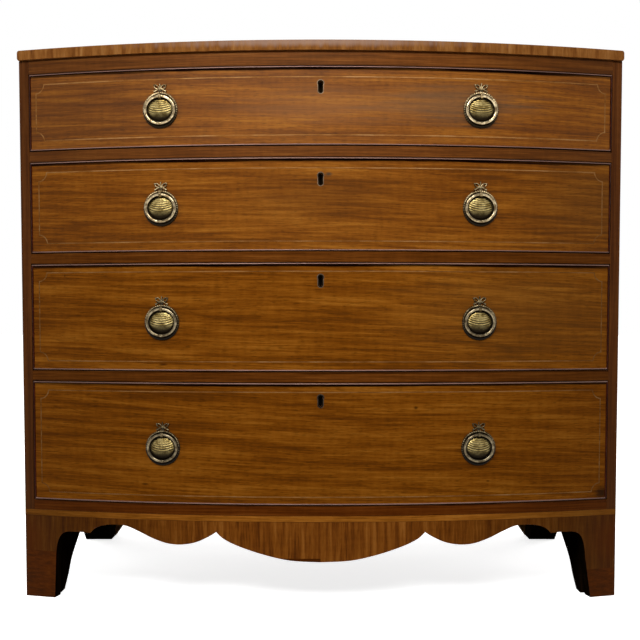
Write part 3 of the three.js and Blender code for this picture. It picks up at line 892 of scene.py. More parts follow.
@dataclass(frozen=True)
class AgedBrass:
    """Stamped and cast brass, bright where hands rub it, dark in its hollows and where shade is painted
    on it.

    Attributes:
        bright: sRGB hex value of the rubbed metal.
        dull: sRGB hex value of its thin tarnish.
        crust_and_shade: sRGB hex value of the dirt in its hollows, also used for the shade painted on
            it.
        specular: The shader's specular level, which only the dirt and the painted shade show.
        shades: Where the metal darkens towards the floor.
        blotch_size: Width of a patch of tarnish.
        tarnish: Between which values of the patches the tarnish thickens.
        grit_share: How much the grains break up the edge of the dirt and the painted shade.
        dirt: Between which values the dark colour thickens, over dirt and painted shade alike.
        dirt_and_shade_metal: How metallic full dirt and painted shade still look.
        dirt_and_shade_blur: How much full dirt and painted shade add to the roughness.
        relief: Height of the patches, with the shader's strength for it in relief_strength.
    """

    name: str = "aged_stamped_brass"
    bright: str = "#bca76e"
    dull: str = "#705c2e"
    crust_and_shade: str = "#1c1202"
    roughness: float = 0.26
    specular: float = 0.1
    shades: tuple[Shade, ...] = (Shade("Z", 0.95, 0.35, 0.76),)
    blotch_size: float = 7 * MM
    grit_size: float = 0.9 * MM
    tarnish: Pair = (0.35, 0.62)
    grit_share: float = 0.5
    dirt: Pair = (0.42, 0.95)
    dirt_and_shade_metal: float = 0.15
    dirt_and_shade_blur: float = 0.4
    relief: float = 0.25 * MM
    relief_strength: float = 0.5

    def material(self, seed: float) -> Material:
        """Builds the finish, which reads the metal's dirt and painted shade from the piece's own
        attribute.

        Args:
            seed: Moves the pattern of the tarnish.

        Returns:
            The new material.
        """
        material, tree, surface = new_finish(self.name)
        place = node(tree, "TexCoord").outputs["Object"]
        noise = {"Vector": place, "Scale": 1 / self.blotch_size, "Detail": 4.0, "W": seed}
        noise["Roughness"] = 0.6
        blotch = node(tree, "TexNoise", noise, noise_dimensions="4D").outputs["Fac"]
        noise = {"Vector": place, "Scale": 1 / self.grit_size, "Detail": 3.0}
        grit = node(tree, "TexNoise", noise).outputs["Fac"]
        # The attribute holds the dirt in the metal's hollows and the shade painted on it.
        hollow = node(tree, "Attribute", attribute_name="hollow").outputs["Fac"]
        low, high = self.tarnish
        fade = {"Value": blotch, "From Min": low, "From Max": high}
        wear = node(tree, "MapRange", fade).outputs["Result"]
        layer = {0: wear, 6: linear(self.bright), 7: linear(self.dull)}
        metal = node(tree, "Mix", layer, data_type="RGBA").outputs[2]
        gritty = {0: grit, 1: self.grit_share, 2: hollow}
        dirt_and_shade_mask = node(tree, "Math", gritty, operation="MULTIPLY_ADD").outputs[0]
        low, high = self.dirt
        fade = {"Value": dirt_and_shade_mask, "From Min": low, "From Max": high}
        dirt = node(tree, "MapRange", fade).outputs["Result"]
        layer = {0: dirt, 6: metal, 7: linear(self.crust_and_shade)}
        colour = node(tree, "Mix", layer, data_type="RGBA").outputs[2]
        for shade in self.shades:
            colour = shade.over(tree, place, colour)
        fade = {"Value": dirt, "To Min": 1.0, "To Max": self.dirt_and_shade_metal}
        shine = node(tree, "MapRange", fade).outputs["Result"]
        blurred = {0: dirt, 1: self.dirt_and_shade_blur, 2: self.roughness}
        blur = node(tree, "Math", blurred, operation="MULTIPLY_ADD").outputs[0]
        relief = {"Height": blotch, "Distance": self.relief, "Strength": self.relief_strength}
        polish = {
            "Base Color": colour,
            "Metallic": shine,
            "Roughness": blur,
            "Normal": node(tree, "Bump", relief).outputs[0],
            "Specular IOR Level": self.specular,
        }
        feed(surface, polish)
        return material


def mark_dirt_and_shade(piece: Object, darkness_of: Callable[[Vector], float]) -> None:
    """Writes on every corner of a metal piece how much dirt and painted shade darken it, from 0 to 1.

    Args:
        piece: The mesh object.
        darkness_of: Takes a corner's place.
    """
    attribute = piece.data.attributes.new("hollow", "FLOAT", "POINT")
    values = [min(max(darkness_of(corner.co), 0.0), 1.0) for corner in piece.data.vertices]
    attribute.data.foreach_set("value", values)


# Sawn and polished woods. The veneers are laid on a bowed ground and waxed.
DRAWER_VENEER = Timber(
    # Ribbon mahogany: soft dark and golden stripes that run level and drift a little.
    "ribbon_mahogany_veneer",
    ("#603208", "#7a420a", "#8f5211", "#a8681e"),
    Grain.ALONG_BOW,
    streak=(170 * MM, 7 * MM),
    drift=2.0,
    line=0.85,
    ribbon=0.6,
    hair=0.6,
    pore=(12 * MM, 1.6 * MM),
    pore_depth=0.38,
)
RAIL_VENEER = Timber(
    # Plain mahogany on the rails: browner and closer in the grain than the drawers.
    "straight_mahogany_veneer",
    ("#4a2408", "#60320c", "#723e12", "#86501e"),
    Grain.ALONG_BOW,
    streak=(120 * MM, 3 * MM),
    ribbon=0.35,
)
SHADED_BOTTOM_RAIL_VENEER = replace(
    # The same veneer, darker under the lowest drawer: painted shadow of that drawer's bow and bead.
    RAIL_VENEER,
    name="shaded_straight_mahogany_veneer",
    tones=("#421b03", "#582806", "#66310a", "#784014"),
)
CROSSBANDING = Timber(
    # Mahogany laid across the edge, so its stripes stand upright and catch the light one by one.
    "crossbanded_mahogany_veneer",
    ("#6a3d18", "#7d4c20", "#8c5a2a", "#9c6b3a"),
    Grain.UPRIGHT,
    streak=(60 * MM, 7 * MM),
    drift=0.8,
    ribbon=0.9,
)
APRON_VENEER = Timber(
    # The same crossbanding, in darker tones near the floor.
    "upright_mahogany_veneer",
    ("#4a2409", "#68370e", "#7c4614", "#925a22"),
    Grain.UPRIGHT,
    streak=(90 * MM, 6 * MM),
    drift=0.8,
)
FOOT_VENEER = Timber(
    # The mended feet: level grain, in still darker tones.
    "mended_foot_veneer",
    ("#280e01", "#361501", "#421b02", "#4e2404"),
    Grain.ACROSS_WIDTH,
    streak=(60 * MM, 4 * MM),
)
STILE_MAHOGANY = Timber(
    # Solid mahogany sides, redder and darker than the veneers.
    "solid_mahogany",
    ("#3a1c0a", "#4a260e", "#583012", "#663a1a"),
    Grain.UPRIGHT,
    streak=(220 * MM, 5 * MM),
)
SIDE_MAHOGANY = replace(
    # The same boards on the outside, faded by daylight.
    STILE_MAHOGANY,
    name="faded_solid_mahogany",
    tones=("#52290f", "#683817", "#7a4620", "#8e572c"),
)
TOP_MAHOGANY = Timber(
    # A wide board of mahogany with long figure across the top.
    "wide_board_mahogany",
    ("#4d270d", "#6b3d15", "#83501f", "#9a662d"),
    Grain.ACROSS_WIDTH,
    streak=(320 * MM, 9 * MM),
)
BEAD_MAHOGANY = Timber(
    # Hard dark cockbead, red where its polish still shines.
    "polished_cockbead",
    ("#1c0803", "#2a0e05", "#36130a", "#461c0e"),
    Grain.ALONG_BOW,
    roughness=0.35,
    specular=0.12,
    sheen_tint="#c06850",
    mottle=0.0,
)
BEAD_HIGHLIGHT = replace(
    # Its upper edge: a painted highlight, pale and with a stronger shine, where the light from above
    # catches it.
    BEAD_MAHOGANY,
    name="painted_highlight_cockbead_crown",
    tones=("#6a4a3e", "#7e5c4e", "#906c5c", "#a07c6c"),
    specular=0.6,
    sheen_tint="#ffd8cc",
)
BEAD_SHADE = replace(
    # Its lower edge: painted shade, near black and matt, where no light falls.
    BEAD_MAHOGANY,
    name="painted_shade_cockbead_foot",
    tones=("#0c0301", "#100401", "#160602", "#1c0803"),
    roughness=0.8,
    specular=0.05,
)
GROUND_MAHOGANY = Timber(
    # The plain ground under the veneer, unpolished.
    "unpolished_mahogany_ground",
    ("#4a2812", "#63391c", "#774826", "#8a5a33"),
    Grain.ACROSS_WIDTH,
    roughness=0.7,
)
LINING_OAK = Timber(
    # Drawer linings of oak: straw brown with long coarse pores, and never polished.
    "drawer_lining_oak",
    ("#6b4c2a", "#86643c", "#98754a", "#ab895c"),
    Grain.INWARD,
    streak=(180 * MM, 3 * MM),
    pore=(22 * MM, 1.0 * MM),
    pore_depth=0.4,
    roughness=0.75,
    sheen_tint=WHITE,
)
BOTTOM_PINE = Timber(
    # Deal boards: pale yellow early wood between darker summer lines, gone brown with dust.
    "dusty_deal",
    ("#6a4723", "#8d6737", "#a27c48", "#b5905b"),
    Grain.ACROSS_WIDTH,
    streak=(420 * MM, 7 * MM),
    drift=4.0,
    roughness=0.8,
    sheen_tint=WHITE,
)
BACK_PINE = Timber(
    # Upright deal planks of the back, stained and dusty.
    "stained_back_deal",
    ("#4d3117", "#6d4a26", "#7f5a31", "#93703f"),
    Grain.UPRIGHT,
    streak=(380 * MM, 8 * MM),
    drift=4.0,
    roughness=0.85,
    sheen_tint=WHITE,
)
SHADE_AND_DIRT_PINE = Timber(
    # Near black, for the glue blocks in the feet, the plinth's hidden edges and the back's joints:
    # painted shade where no light reaches, with old stain and dirt.
    "shaded_dirty_deal",
    ("#080402", "#100904", "#180e06", "#20140a"),
    Grain.UPRIGHT,
    roughness=0.9,
    specular=0.0,
)
BOXWOOD = Timber(
    # Boxwood stringing, darkened to honey by polish, with almost no grain.
    "boxwood_string",
    ("#8a5724", "#9c6834", "#ae7a44", "#be8c56"),
    Grain.ALONG_BOW,
    streak=(35 * MM, 6 * MM),
    ribbon=0.9,
)
EBONY_LINE = Timber(
    # The thin dark line that is laid beside the boxwood.
    "dark_string_line",
    ("#3a1c08", "#4a270d", "#583113", "#683e1c"),
    Grain.ALONG_BOW,
    streak=(35 * MM, 6 * MM),
)
SATINWOOD = Timber(
    # Satinwood band over the apron: bright, yellow and finely striped.
    "satinwood_band",
    ("#75420f", "#8a5216", "#9b5e1d", "#ac7029"),
    Grain.ALONG_BOW,
    streak=(60 * MM, 2.2 * MM),
)


# Painted shade: the fronts and rails darken towards both ends of the bow and towards the floor, where
# the light falls off; partly also darker old polish.
DRAWER_SHADES = (Shade("X", 0.12, 0.56, 0.25), Shade("Z", 0.85, 0.2, 0.22))
RAIL_SHADES = (Shade("X", 0.1, 0.5, 0.4), Shade("Z", 0.9, 0.2, 0.2))
# Half of the length of a mark that runs over the whole width of the chest.
WHOLE_WIDTH = 1.4


@dataclass
class Carcass:
    """Everything of the chest that stands still.

    Attributes:
        bow: The arc of the front.
        top_outward: How far the top stands out over the bow.
        end_round: Rounding of the top's ends, seen from the front.
        top_arris: Rounding of the top's other edges.
        plain_arris: The same of rails, aprons and brackets. Those of other parts follow it.
        edge_highlight: A painted highlight along the middle of the top's front edge.
        rails: The front's rails from the top, each with the specular level and the haze of its
        polish, and how far the painted shadow of the bead over it reaches down its face.
        block_width: How far the blocks in the feet reach inwards from the chest's sides.
        block_start: How far behind the front corners the front ones start.
        band_line: Width of the dark line along each edge of the light band.
        band_proud: How far the band stands out from the apron.
        edge_height: Height of the aprons' lower edges between their brackets.
        foot_top_width: Width of a front foot where its bracket ends.
        stile_shade: How much painted shade darkens the left and the right stile towards their outer
            edges.
        plank_tones: What the planks' seeds add, one after the other.
        glue_line: How far each mitre at the front corners stands back.
        foot_seams: How high the mended wood of the left and the right front foot reaches.
        middle_lobe_shares: The apron's middle lobe, in shares of half the width and of the plinth.
            The lobe beside it and the point next to the foot follow in the same shares.
        foot_curve_shares: What the bracket's curve is drawn towards, in shares of its own size.
        side_bracket_shares: A side's bracket, in shares of its length and of the edge's height.
    """

    bow: Bow
    top_outward: float = 5 * MM
    end_round: float = 4.6 * MM
    top_arris: float = 1.6 * MM
    plain_arris: float = 0.7 * MM
    side_arris: float = 0.9 * MM
    back_arris: float = 0.4 * MM
    block_arris: float = 1.2 * MM
    edge_highlight: Mark = Mark(-0.02, 0.945, 330 * MM, 10 * MM, "#b09484", 0.6)
    rails: Sequence[tuple[str, float, str, float]] = (
        ("top_rail", 0.22, "#e6b488", 0.0),
        ("divider_1", 0.22, "#e6b488", 4.4 * MM),
        ("divider_2", 0.18, "#c87c30", 4.2 * MM),
        ("divider_3", 0.18, "#c87c30", 8 * MM),
        ("bottom_board", 0.18, "#c87c30", 8 * MM),
    )
    # Height of the painted shade along each rail's lower edge, over the gap above the bead below.
    gap_shade_reach: float = 1.6 * MM
    front_strip: float = 100 * MM
    apron_thickness: float = 20 * MM
    block_width: float = 57 * MM
    block_length: float = 180 * MM
    block_start: float = 16.5 * MM
    band_low: float = 144.2 * MM
    band_high: float = 155.2 * MM
    band_line: float = 0.7 * MM
    band_proud: float = 0.12 * MM
    edge_height: float = 118.5 * MM
    foot_top_width: float = 57 * MM
    foot_top_height: float = 74 * MM
    foot_width_left: float = 54 * MM
    foot_width_right: float = 46 * MM
    foot_bracket_reach: float = 82 * MM
    front_foot_depth: float = 42 * MM
    rear_foot_depth: float = 58 * MM
    side_bracket_reach: float = 190 * MM
    rear_foot_reach: float = 150 * MM
    rear_bracket_reach: float = 150 * MM
    stile_shade: Pair = (0.22, 0.0)
    planks: int = 5
    plank_tones: Sequence[float] = (0.0, 0.31, 0.62)
    glue_line: float = 0.3 * MM
    foot_seams: Pair = (82 * MM, 50 * MM)
    middle_lobe_shares: Sequence[Station] = (
        (0, 0.498),
        (0.1, 0.516),
        (0.19, 0.583),
        (0.27, 0.673),
        (0.318, 0.752),
        (0.342, 0.826),
    )
    side_lobe_shares: Sequence[Station] = (
        (0.342, 0.826),
        (0.365, 0.776),
        (0.408, 0.708),
        (0.455, 0.677),
        (0.502, 0.684),
        (0.55, 0.734),
        (0.597, 0.806),
        (0.64, 0.866),
        (0.675, 0.879),
        (0.715, 0.871),
        (0.747, 0.835),
        (0.769, 0.77),
    )
    cusp_shares: Station = (0.791, 0.777)
    foot_curve_shares: Sequence[Station] = ((0.08, 0.86), (0.5, 0.97))
    side_bracket_shares: Sequence[Station] = (
        (0, 0),
        (0.142, 0.169),
        (0.295, 0.396),
        (0.653, 0.7),
        (0.86, 0.92),
        (1, 1),
    )
    rear_bracket_shares: Sequence[Station] = ((0, 0), (0.14, 0.25), (0.36, 0.6), (0.68, 0.88), (1, 1))
    curve_steps: int = 5

    def build(self) -> None:
        """Builds and dresses the whole carcass."""
        self.build_top()
        self.build_rails()
        self.build_sides()
        self.build_back()
        self.build_front_apron()
        self.build_band()
        for side, word in ((-1, "left"), (1, "right")):
            self.build_side_plinth(side, word)

    def build_top(self) -> None:
        """The top board: bent from a block, cut square at its ends and back, with rounded ends."""
        low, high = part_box("top_board")
        half = high.x
        reach = self.bow.along(half, self.top_outward) + self.front_strip / 2
        near = -self.top_outward
        piece = add_block("board_top", (-reach, near, low.z), (reach, self.front_strip, high.z))
        self.bow.columns(piece, FINE_COLUMNS)
        self.bow.bend(piece)
        self.bow.trim_ends(piece, half)
        seam = self.bow.apex_y + self.front_strip - SPARE / 2
        trim(piece, (0, seam, 0), (0, 1, 0))
        with editing(piece):
            edge = seam - SAME_PLACE
            pick(piece, Pick.FACES, lambda middle, normal: normal.y > ALONG and middle.y > edge)
            bpy.ops.mesh.extrude_region_move(TRANSFORM_OT_translate={"value": (0, high.y - seam, 0)})
        with editing(piece):
            edge = half - SAME_PLACE
            pick(piece, Pick.EDGES, lambda middle, way: abs(way.y) > ALONG and abs(middle.x) > edge)
            bpy.ops.mesh.bevel(offset=self.end_round, segments=4, affect="EDGES")
        soften(piece, self.top_arris, segments=3)
        # The front edge's crossbanding carries a painted highlight along its middle.
        dress(piece, TOP_MAHOGANY.material(1.0), CROSSBANDING.material(2.0, [self.edge_highlight]))
        back = high.y - self.top_arris
        paint(piece, 1, lambda middle, normal: abs(normal.z) < 2 * SLIGHTLY and middle.y < back)
        seat(piece, "carcass", "mahogany_veneer", "top_board")

    def build_rails(self) -> None:
        """The top rail, the dividers and the bottom board, refined to the true arc."""
        for number, (name, polish, haze, bead_shadow) in enumerate(self.rails):
            low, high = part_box(name)
            piece = node_copy(name, f"rail_{name}")
            self.bow.refine(piece, high.x, [0.0])
            soften(piece, self.plain_arris)
            plain = SHADED_BOTTOM_RAIL_VENEER if name == "bottom_board" else RAIL_VENEER
            veneer = replace(plain, specular=polish, sheen_tint=haze)
            # Painted shade along the rail's lower edge, over the gap above the next bead, and the black
            # painted shadow that the bead over it throws on its face, which also hides its reflections.
            dirt = []
            if name != "bottom_board":
                dirt.append(Mark(0.0, low.z, WHOLE_WIDTH, self.gap_shade_reach, GAP_SHADE_BROWN, 0.8))
            if bead_shadow:
                dirt.append(Mark(0.0, high.z, WHOLE_WIDTH, bead_shadow, SHADOW_BLACK, 1.0, matt=1.0))
            face = veneer.material(number + 0.37, dirt, RAIL_SHADES)
            dress(piece, GROUND_MAHOGANY.material(number), face)
            paint(piece, 1, self.bow.shows)
            seat(piece, "carcass", "mahogany_veneer", name)

    def build_sides(self) -> None:
        """The two solid sides, whose front edges are the stiles."""
        # The sides darken towards the floor.
        darker_below = Shade("Z", 0.6, 0.2, 0.36)
        face_x = self.bow.half_width - MM
        for number, name in enumerate(["side_left", "side_right"]):
            piece = soften(node_copy(name, f"panel_{name}"), self.side_arris)
            # Painted shade that darkens the stile towards its outer edge.
            stile_edge_shade = Shade("X", 0.3, 0.45, self.stile_shade[number])
            stile = STILE_MAHOGANY.material(number + 3.0, shades=(darker_below, stile_edge_shade))
            dress(piece, stile, SIDE_MAHOGANY.material(number + 3.0, shades=(darker_below,)))
            paint(piece, 1, lambda middle, normal: abs(middle.x) > face_x and abs(normal.x) > ALONG)
            seat(piece, "carcass", "mahogany_dark", name)

    def build_back(self) -> None:
        """The planked back, each plank its own tone, with dirt in the joints between them."""
        low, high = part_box("back_panel")
        piece = soften(node_copy("back_panel", "panel_back"), self.back_arris)
        width = (high.x - low.x) / self.planks
        tones = len(self.plank_tones)
        planks = [BACK_PINE.material(4.0 + tone) for tone in self.plank_tones]
        dress(piece, *planks, SHADE_AND_DIRT_PINE.material(4.0))
        for tone in range(1, tones):
            paint(piece, tone, lambda middle, _: int((middle.x - low.x) / width) % tones == tone)
        rim = high.x - width / 2
        paint(piece, tones, lambda middle, normal: 0.1 < abs(normal.x) < ALONG and abs(middle.x) < rim)
        seat(piece, "carcass", "pine", "back_panel")

    def apron_line(self, foot_width: float) -> list[Station]:
        """The lower edge of half the apron, from the middle out past the corner.

        Args:
            foot_width: Width of the foot on the floor.

        Returns:
            Places along the front with the edge's height at each.
        """
        half, plinth = self.bow.half_width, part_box("front_apron")[1].z
        shares = (self.middle_lobe_shares, self.side_lobe_shares, [self.cusp_shares])
        *lobes, (cusp,) = ([(u * half, v * plinth) for u, v in line] for line in shares)
        middle, side = (smooth_line(points, self.curve_steps) for points in lobes)
        start = (half - self.foot_bracket_reach, self.edge_height)
        end = (half - self.foot_top_width, self.foot_top_height)
        reach, fall = end[0] - start[0], start[1] - end[1]
        lower, upper = [(end[0] - u * reach, end[1] + v * fall) for u, v in self.foot_curve_shares]
        steps = 3 * self.curve_steps
        bracket = []
        for k in range(steps + 1):
            t = k / steps
            weights = ((1 - t) ** 3, 3 * t * (1 - t) ** 2, 3 * t**2 * (1 - t), t**3)
            points = (start, upper, lower, end)
            bracket.append(tuple(sum(w * p[axis] for w, p in zip(weights, points)) for axis in (0, 1)))
        return [*middle, *side[1:], cusp, *bracket, (half - foot_width, 0.0), (half + SPARE, 0.0)]

    def build_front_apron(self) -> None:
        """The shaped front of the plinth with its feet, mitred at both corners."""
        bow, plinth = self.bow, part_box("front_apron")[1].z
        half = bow.half_width
        right = self.apron_line(self.foot_width_right)
        left = [(-x, z) for x, z in self.apron_line(self.foot_width_left)[1:]]
        line = [(bow.along(x), z) for x, z in [*reversed(left), *right]]
        thick = self.apron_thickness
        piece = add_shaped_board("apron_front", line, plinth, 0.0, thick, Facing.FRONT)
        bow.bend(piece)
        bow.trim_ends(piece, half)
        for side in (-1, 1):
            corner = (side * (half - self.glue_line), bow.corner_y, 0)
            trim(piece, corner, (side, 1, 0))
        score(piece, (0, 0, 1), self.foot_seams)
        soften(piece, self.plain_arris)
        # Painted shade towards both ends of the bow.
        ends = (Shade("X", 0.12, 0.48, 0.72),)
        mended = [Mark(side * half, 0.1, 60 * MM, 60 * MM, "#783202", 0.6) for side in (-1, 1)]
        face = APRON_VENEER.material(5.0, mended, ends)
        dress(piece, face, SHADE_AND_DIRT_PINE.material(6.0), FOOT_VENEER.material(5.5))
        # Its lower and inner edges and its back take the near-black finish: painted shade where no
        # light reaches.
        paint(piece, 1, lambda _, normal: normal.y > -SLIGHTLY and normal.z < 0.5)
        paint(piece, 1, lambda _, normal: normal.y > SLIGHTLY)
        near = -SLIGHTLY
        for side, seam in zip((-1, 1), self.foot_seams):
            paint(piece, 2, lambda at, way: way.y < near and side * at.x >= 0 and at.z < seam)
        seat(piece, "carcass", "mahogany_veneer", "front_apron")

    def build_band(self) -> None:
        """The light band across the top of the plinth, with a thin dark line above and below it."""
        bow = self.bow
        seams = (self.band_low + self.band_line, self.band_high - self.band_line)
        reach = bow.along(bow.half_width) + SPARE
        near, far = -self.band_proud, 4 * self.band_proud
        piece = add_block("band_plinth", (-reach, near, self.band_low), (reach, far, self.band_high))
        score(piece, (0, 0, 1), seams)
        bow.columns(piece, FINE_COLUMNS)
        bow.bend(piece)
        bow.trim_ends(piece, bow.half_width)
        # Painted shade towards both ends of the bow.
        ends = (Shade("X", 0.2, 0.5, 0.56),)
        dress(piece, SATINWOOD.material(7.0, shades=ends), EBONY_LINE.material(8.0, shades=ends))
        paint(piece, 1, lambda middle, _: not seams[0] < middle.z < seams[1])
        seat(piece, "carcass", "mahogany_veneer")

    def side_line(self) -> list[Station]:
        """The lower edge of a side of the plinth, from the front corner to the back."""
        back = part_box("side_left")[1].y
        depth = back - self.bow.corner_y
        front, rear = (
            smooth_line(
                [(start + u * reach, v * self.edge_height) for u, v in self.side_bracket_shares],
                self.curve_steps,
            )
            for start, reach in (
                (self.front_foot_depth, self.side_bracket_reach),
                (depth - self.rear_foot_depth, -self.rear_foot_reach),
            )
        )
        line = [(0.0, 0.0), *front, *reversed(rear), (depth, 0.0)]
        return [(self.bow.corner_y + y, z) for y, z in line]

    def build_side_plinth(self, side: int, word: str) -> None:
        """One side of the plinth: its board, the blocks behind its feet and the bracket at the back.

        Args:
            side: -1 for the left and 1 for the right.
            word: The side's name.
        """
        bow = self.bow
        node_name = f"side_apron_{word}"
        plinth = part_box(node_name)[1].z
        half, line = bow.half_width, self.side_line()
        back = line[-1][0]
        outer, inner, block = (side * (half - d) for d in (0.0, self.apron_thickness, self.block_width))
        board = add_shaped_board(f"apron_side_{word}", line, plinth, outer, inner, Facing.SIDE)
        trim(board, (side * half, bow.corner_y, 0), (-side, -1, 0))
        soften(board, self.plain_arris)
        dress(board, APRON_VENEER.material(side + 9.0), SHADE_AND_DIRT_PINE.material(6.0))
        # Its inner face and edges take the near-black finish: painted shade where no light reaches.
        paint(board, 1, lambda _, normal: normal.x * side < 0.5 and normal.y < ALONG)
        seat(board, "carcass", "mahogany_veneer", node_name)
        stretches = {
            "front": (bow.corner_y + self.block_start, bow.corner_y + self.block_length),
            "rear": (back - self.block_length, back),
        }
        for place, (start, end) in stretches.items():
            stretch = clipped(line, start, end)
            name = f"block_{place}_{word}"
            piece = add_shaped_board(name, stretch, plinth, inner, block, Facing.SIDE)
            soften(piece, self.block_arris)
            # The blocks are near black, painted shade inside the feet, with plain deal at their backs.
            dress(piece, SHADE_AND_DIRT_PINE.material(side + 11.0), BACK_PINE.material(side + 12.0))
            paint(piece, 1, lambda _, normal: normal.y > ALONG)
            seat(piece, "carcass", "pine", node_name)
        start, reach = half - self.block_width, self.rear_bracket_reach
        shape = [(start - u * reach, v * self.edge_height) for u, v in self.rear_bracket_shares]
        curve = sorted((side * x, z) for x, z in smooth_line(shape, self.curve_steps))
        near = back - self.apron_thickness
        bracket = add_shaped_board(f"bracket_rear_{word}", curve, plinth, near, back, Facing.FRONT)
        soften(bracket, self.plain_arris)
        dress(bracket, BACK_PINE.material(side + 13.0))
        seat(bracket, "carcass", "pine", node_name)


@dataclass(frozen=True)
class Crest:
    """The ribbon bow over a plate: two open loops, a knot, a spike and two tails, on a foot.

    Attributes:
        out: How far its middle stands out.
        loop_middle: Where the right loop's middle lies, across and up, as the tail's is given too.
        loop_shape: A loop's length, width and depth, as shares of a round one's.
        loop_rise: How steeply a loop rises outwards.
        loop_end: How far from its middle its flatter outer end starts.
        tail_turn: From straight up to the way a tail points.
        waist: Half of the height of the knot's bound waist.
        foot_size: Half of the foot's width, and the heights between which it lies.
    """

    out: float = 1.5 * MM
    loop_middle: Station = (6.1 * MM, 38.3 * MM)
    loop_radii: Pair = (4.6 * MM, 1.6 * MM)
    loop_shape: Point = (1.08, 0.56, 0.8)
    loop_rise: float = math.radians(32)
    loop_end: float = 3.6 * MM
    end_width: float = 0.45
    tail_middle: Station = (5.6 * MM, 33.0 * MM)
    tail_radii: Pair = (0.7 * MM, 1.7 * MM)
    tail_length: float = 11.0 * MM
    tail_turn: float = math.radians(116)
    knot_height: float = 35.2 * MM
    knot_radius: float = 2.3 * MM
    knot_shape: Point = (1, 0.8, 1.1)
    waist: float = 0.5 * MM
    waist_share: float = 0.86
    spike_height: float = 39.7 * MM
    spike_radii: Pair = (1.3 * MM, 0.9 * MM)
    spike_length: float = 9.0 * MM
    foot_size: Triple = (3 * MM, 26.5 * MM, 33 * MM)
    edge: float = 0.25 * MM

    def add_loop(self, side: int) -> Object:
        """The loop on one side, -1 or 1, flatter at its outer end."""
        across, height = self.loop_middle
        middle = (side * across, -self.out, height)
        loop_radius, ribbon_radius = self.loop_radii
        bpy.ops.mesh.primitive_torus_add(
            major_radius=loop_radius,
            minor_radius=ribbon_radius,
            major_segments=40,
            minor_segments=12,
            location=middle,
        )
        loop = named("loop")
        with editing(loop):
            bpy.ops.mesh.select_all(action="SELECT")
            bpy.ops.transform.resize(value=self.loop_shape, center_override=middle)
            tip = across + self.loop_end
            pick(loop, Pick.CORNERS, lambda place, _: side * place.x > tip)
            bpy.ops.transform.resize(value=(1, self.end_width, 1), center_override=middle)
        loop.data.transform(
            Matrix.Translation(middle)
            @ Matrix.Rotation(-side * self.loop_rise, 4, "Y")
            @ Matrix.Rotation(math.pi / 2, 4, "X")
            @ Matrix.Translation(-Vector(middle))
        )
        return loop

    def add_rod(self, name: str, radii: Station, length: float, middle: Station, turn: float) -> Object:
        """A tapered rod whose middle lies so far across and up, turned from upright to one side."""
        bpy.ops.mesh.primitive_cone_add(
            vertices=20,
            radius1=radii[0],
            radius2=radii[1],
            depth=length,
            location=(middle[0], -self.out, middle[1]),
            rotation=(0, turn, 0),
        )
        return soften(named(name), self.edge)

    def add_knot(self) -> Object:
        """The knot, with its waist drawn in."""
        middle = (0, -self.out, self.knot_height)
        radius = self.knot_radius
        bpy.ops.mesh.primitive_uv_sphere_add(segments=24, ring_count=14, radius=radius, location=middle)
        knot = named("knot", self.knot_shape)
        with editing(knot):
            pick(knot, Pick.CORNERS, lambda place, _: abs(place.z - self.knot_height) < self.waist)
            drawn_in = (self.waist_share, self.waist_share, 1)
            bpy.ops.transform.resize(value=drawn_in, center_override=middle)
        return knot

    def build(self) -> Object:
        """Models the whole crest, dirty where it lies deep."""
        parts = []
        across, height = self.tail_middle
        for side in (-1, 1):
            parts.append(self.add_loop(side))
            middle, turn = (side * across, height), side * self.tail_turn
            parts.append(self.add_rod("tail", self.tail_radii, self.tail_length, middle, turn))
        parts.append(self.add_knot())
        top = (0, self.spike_height)
        parts.append(self.add_rod("spike", self.spike_radii, self.spike_length, top, 0.0))
        half, low, high = self.foot_size
        foot = add_block("foot", (-half, -1.1 * self.out, low), (half, -0.2 * self.out, high))
        parts.append(soften(foot, 2 * self.edge))
        crest = joined("crest", parts)
        mark_dirt_and_shade(crest, lambda place: 0.9 * (place.y / self.out + 1.7))
        return crest


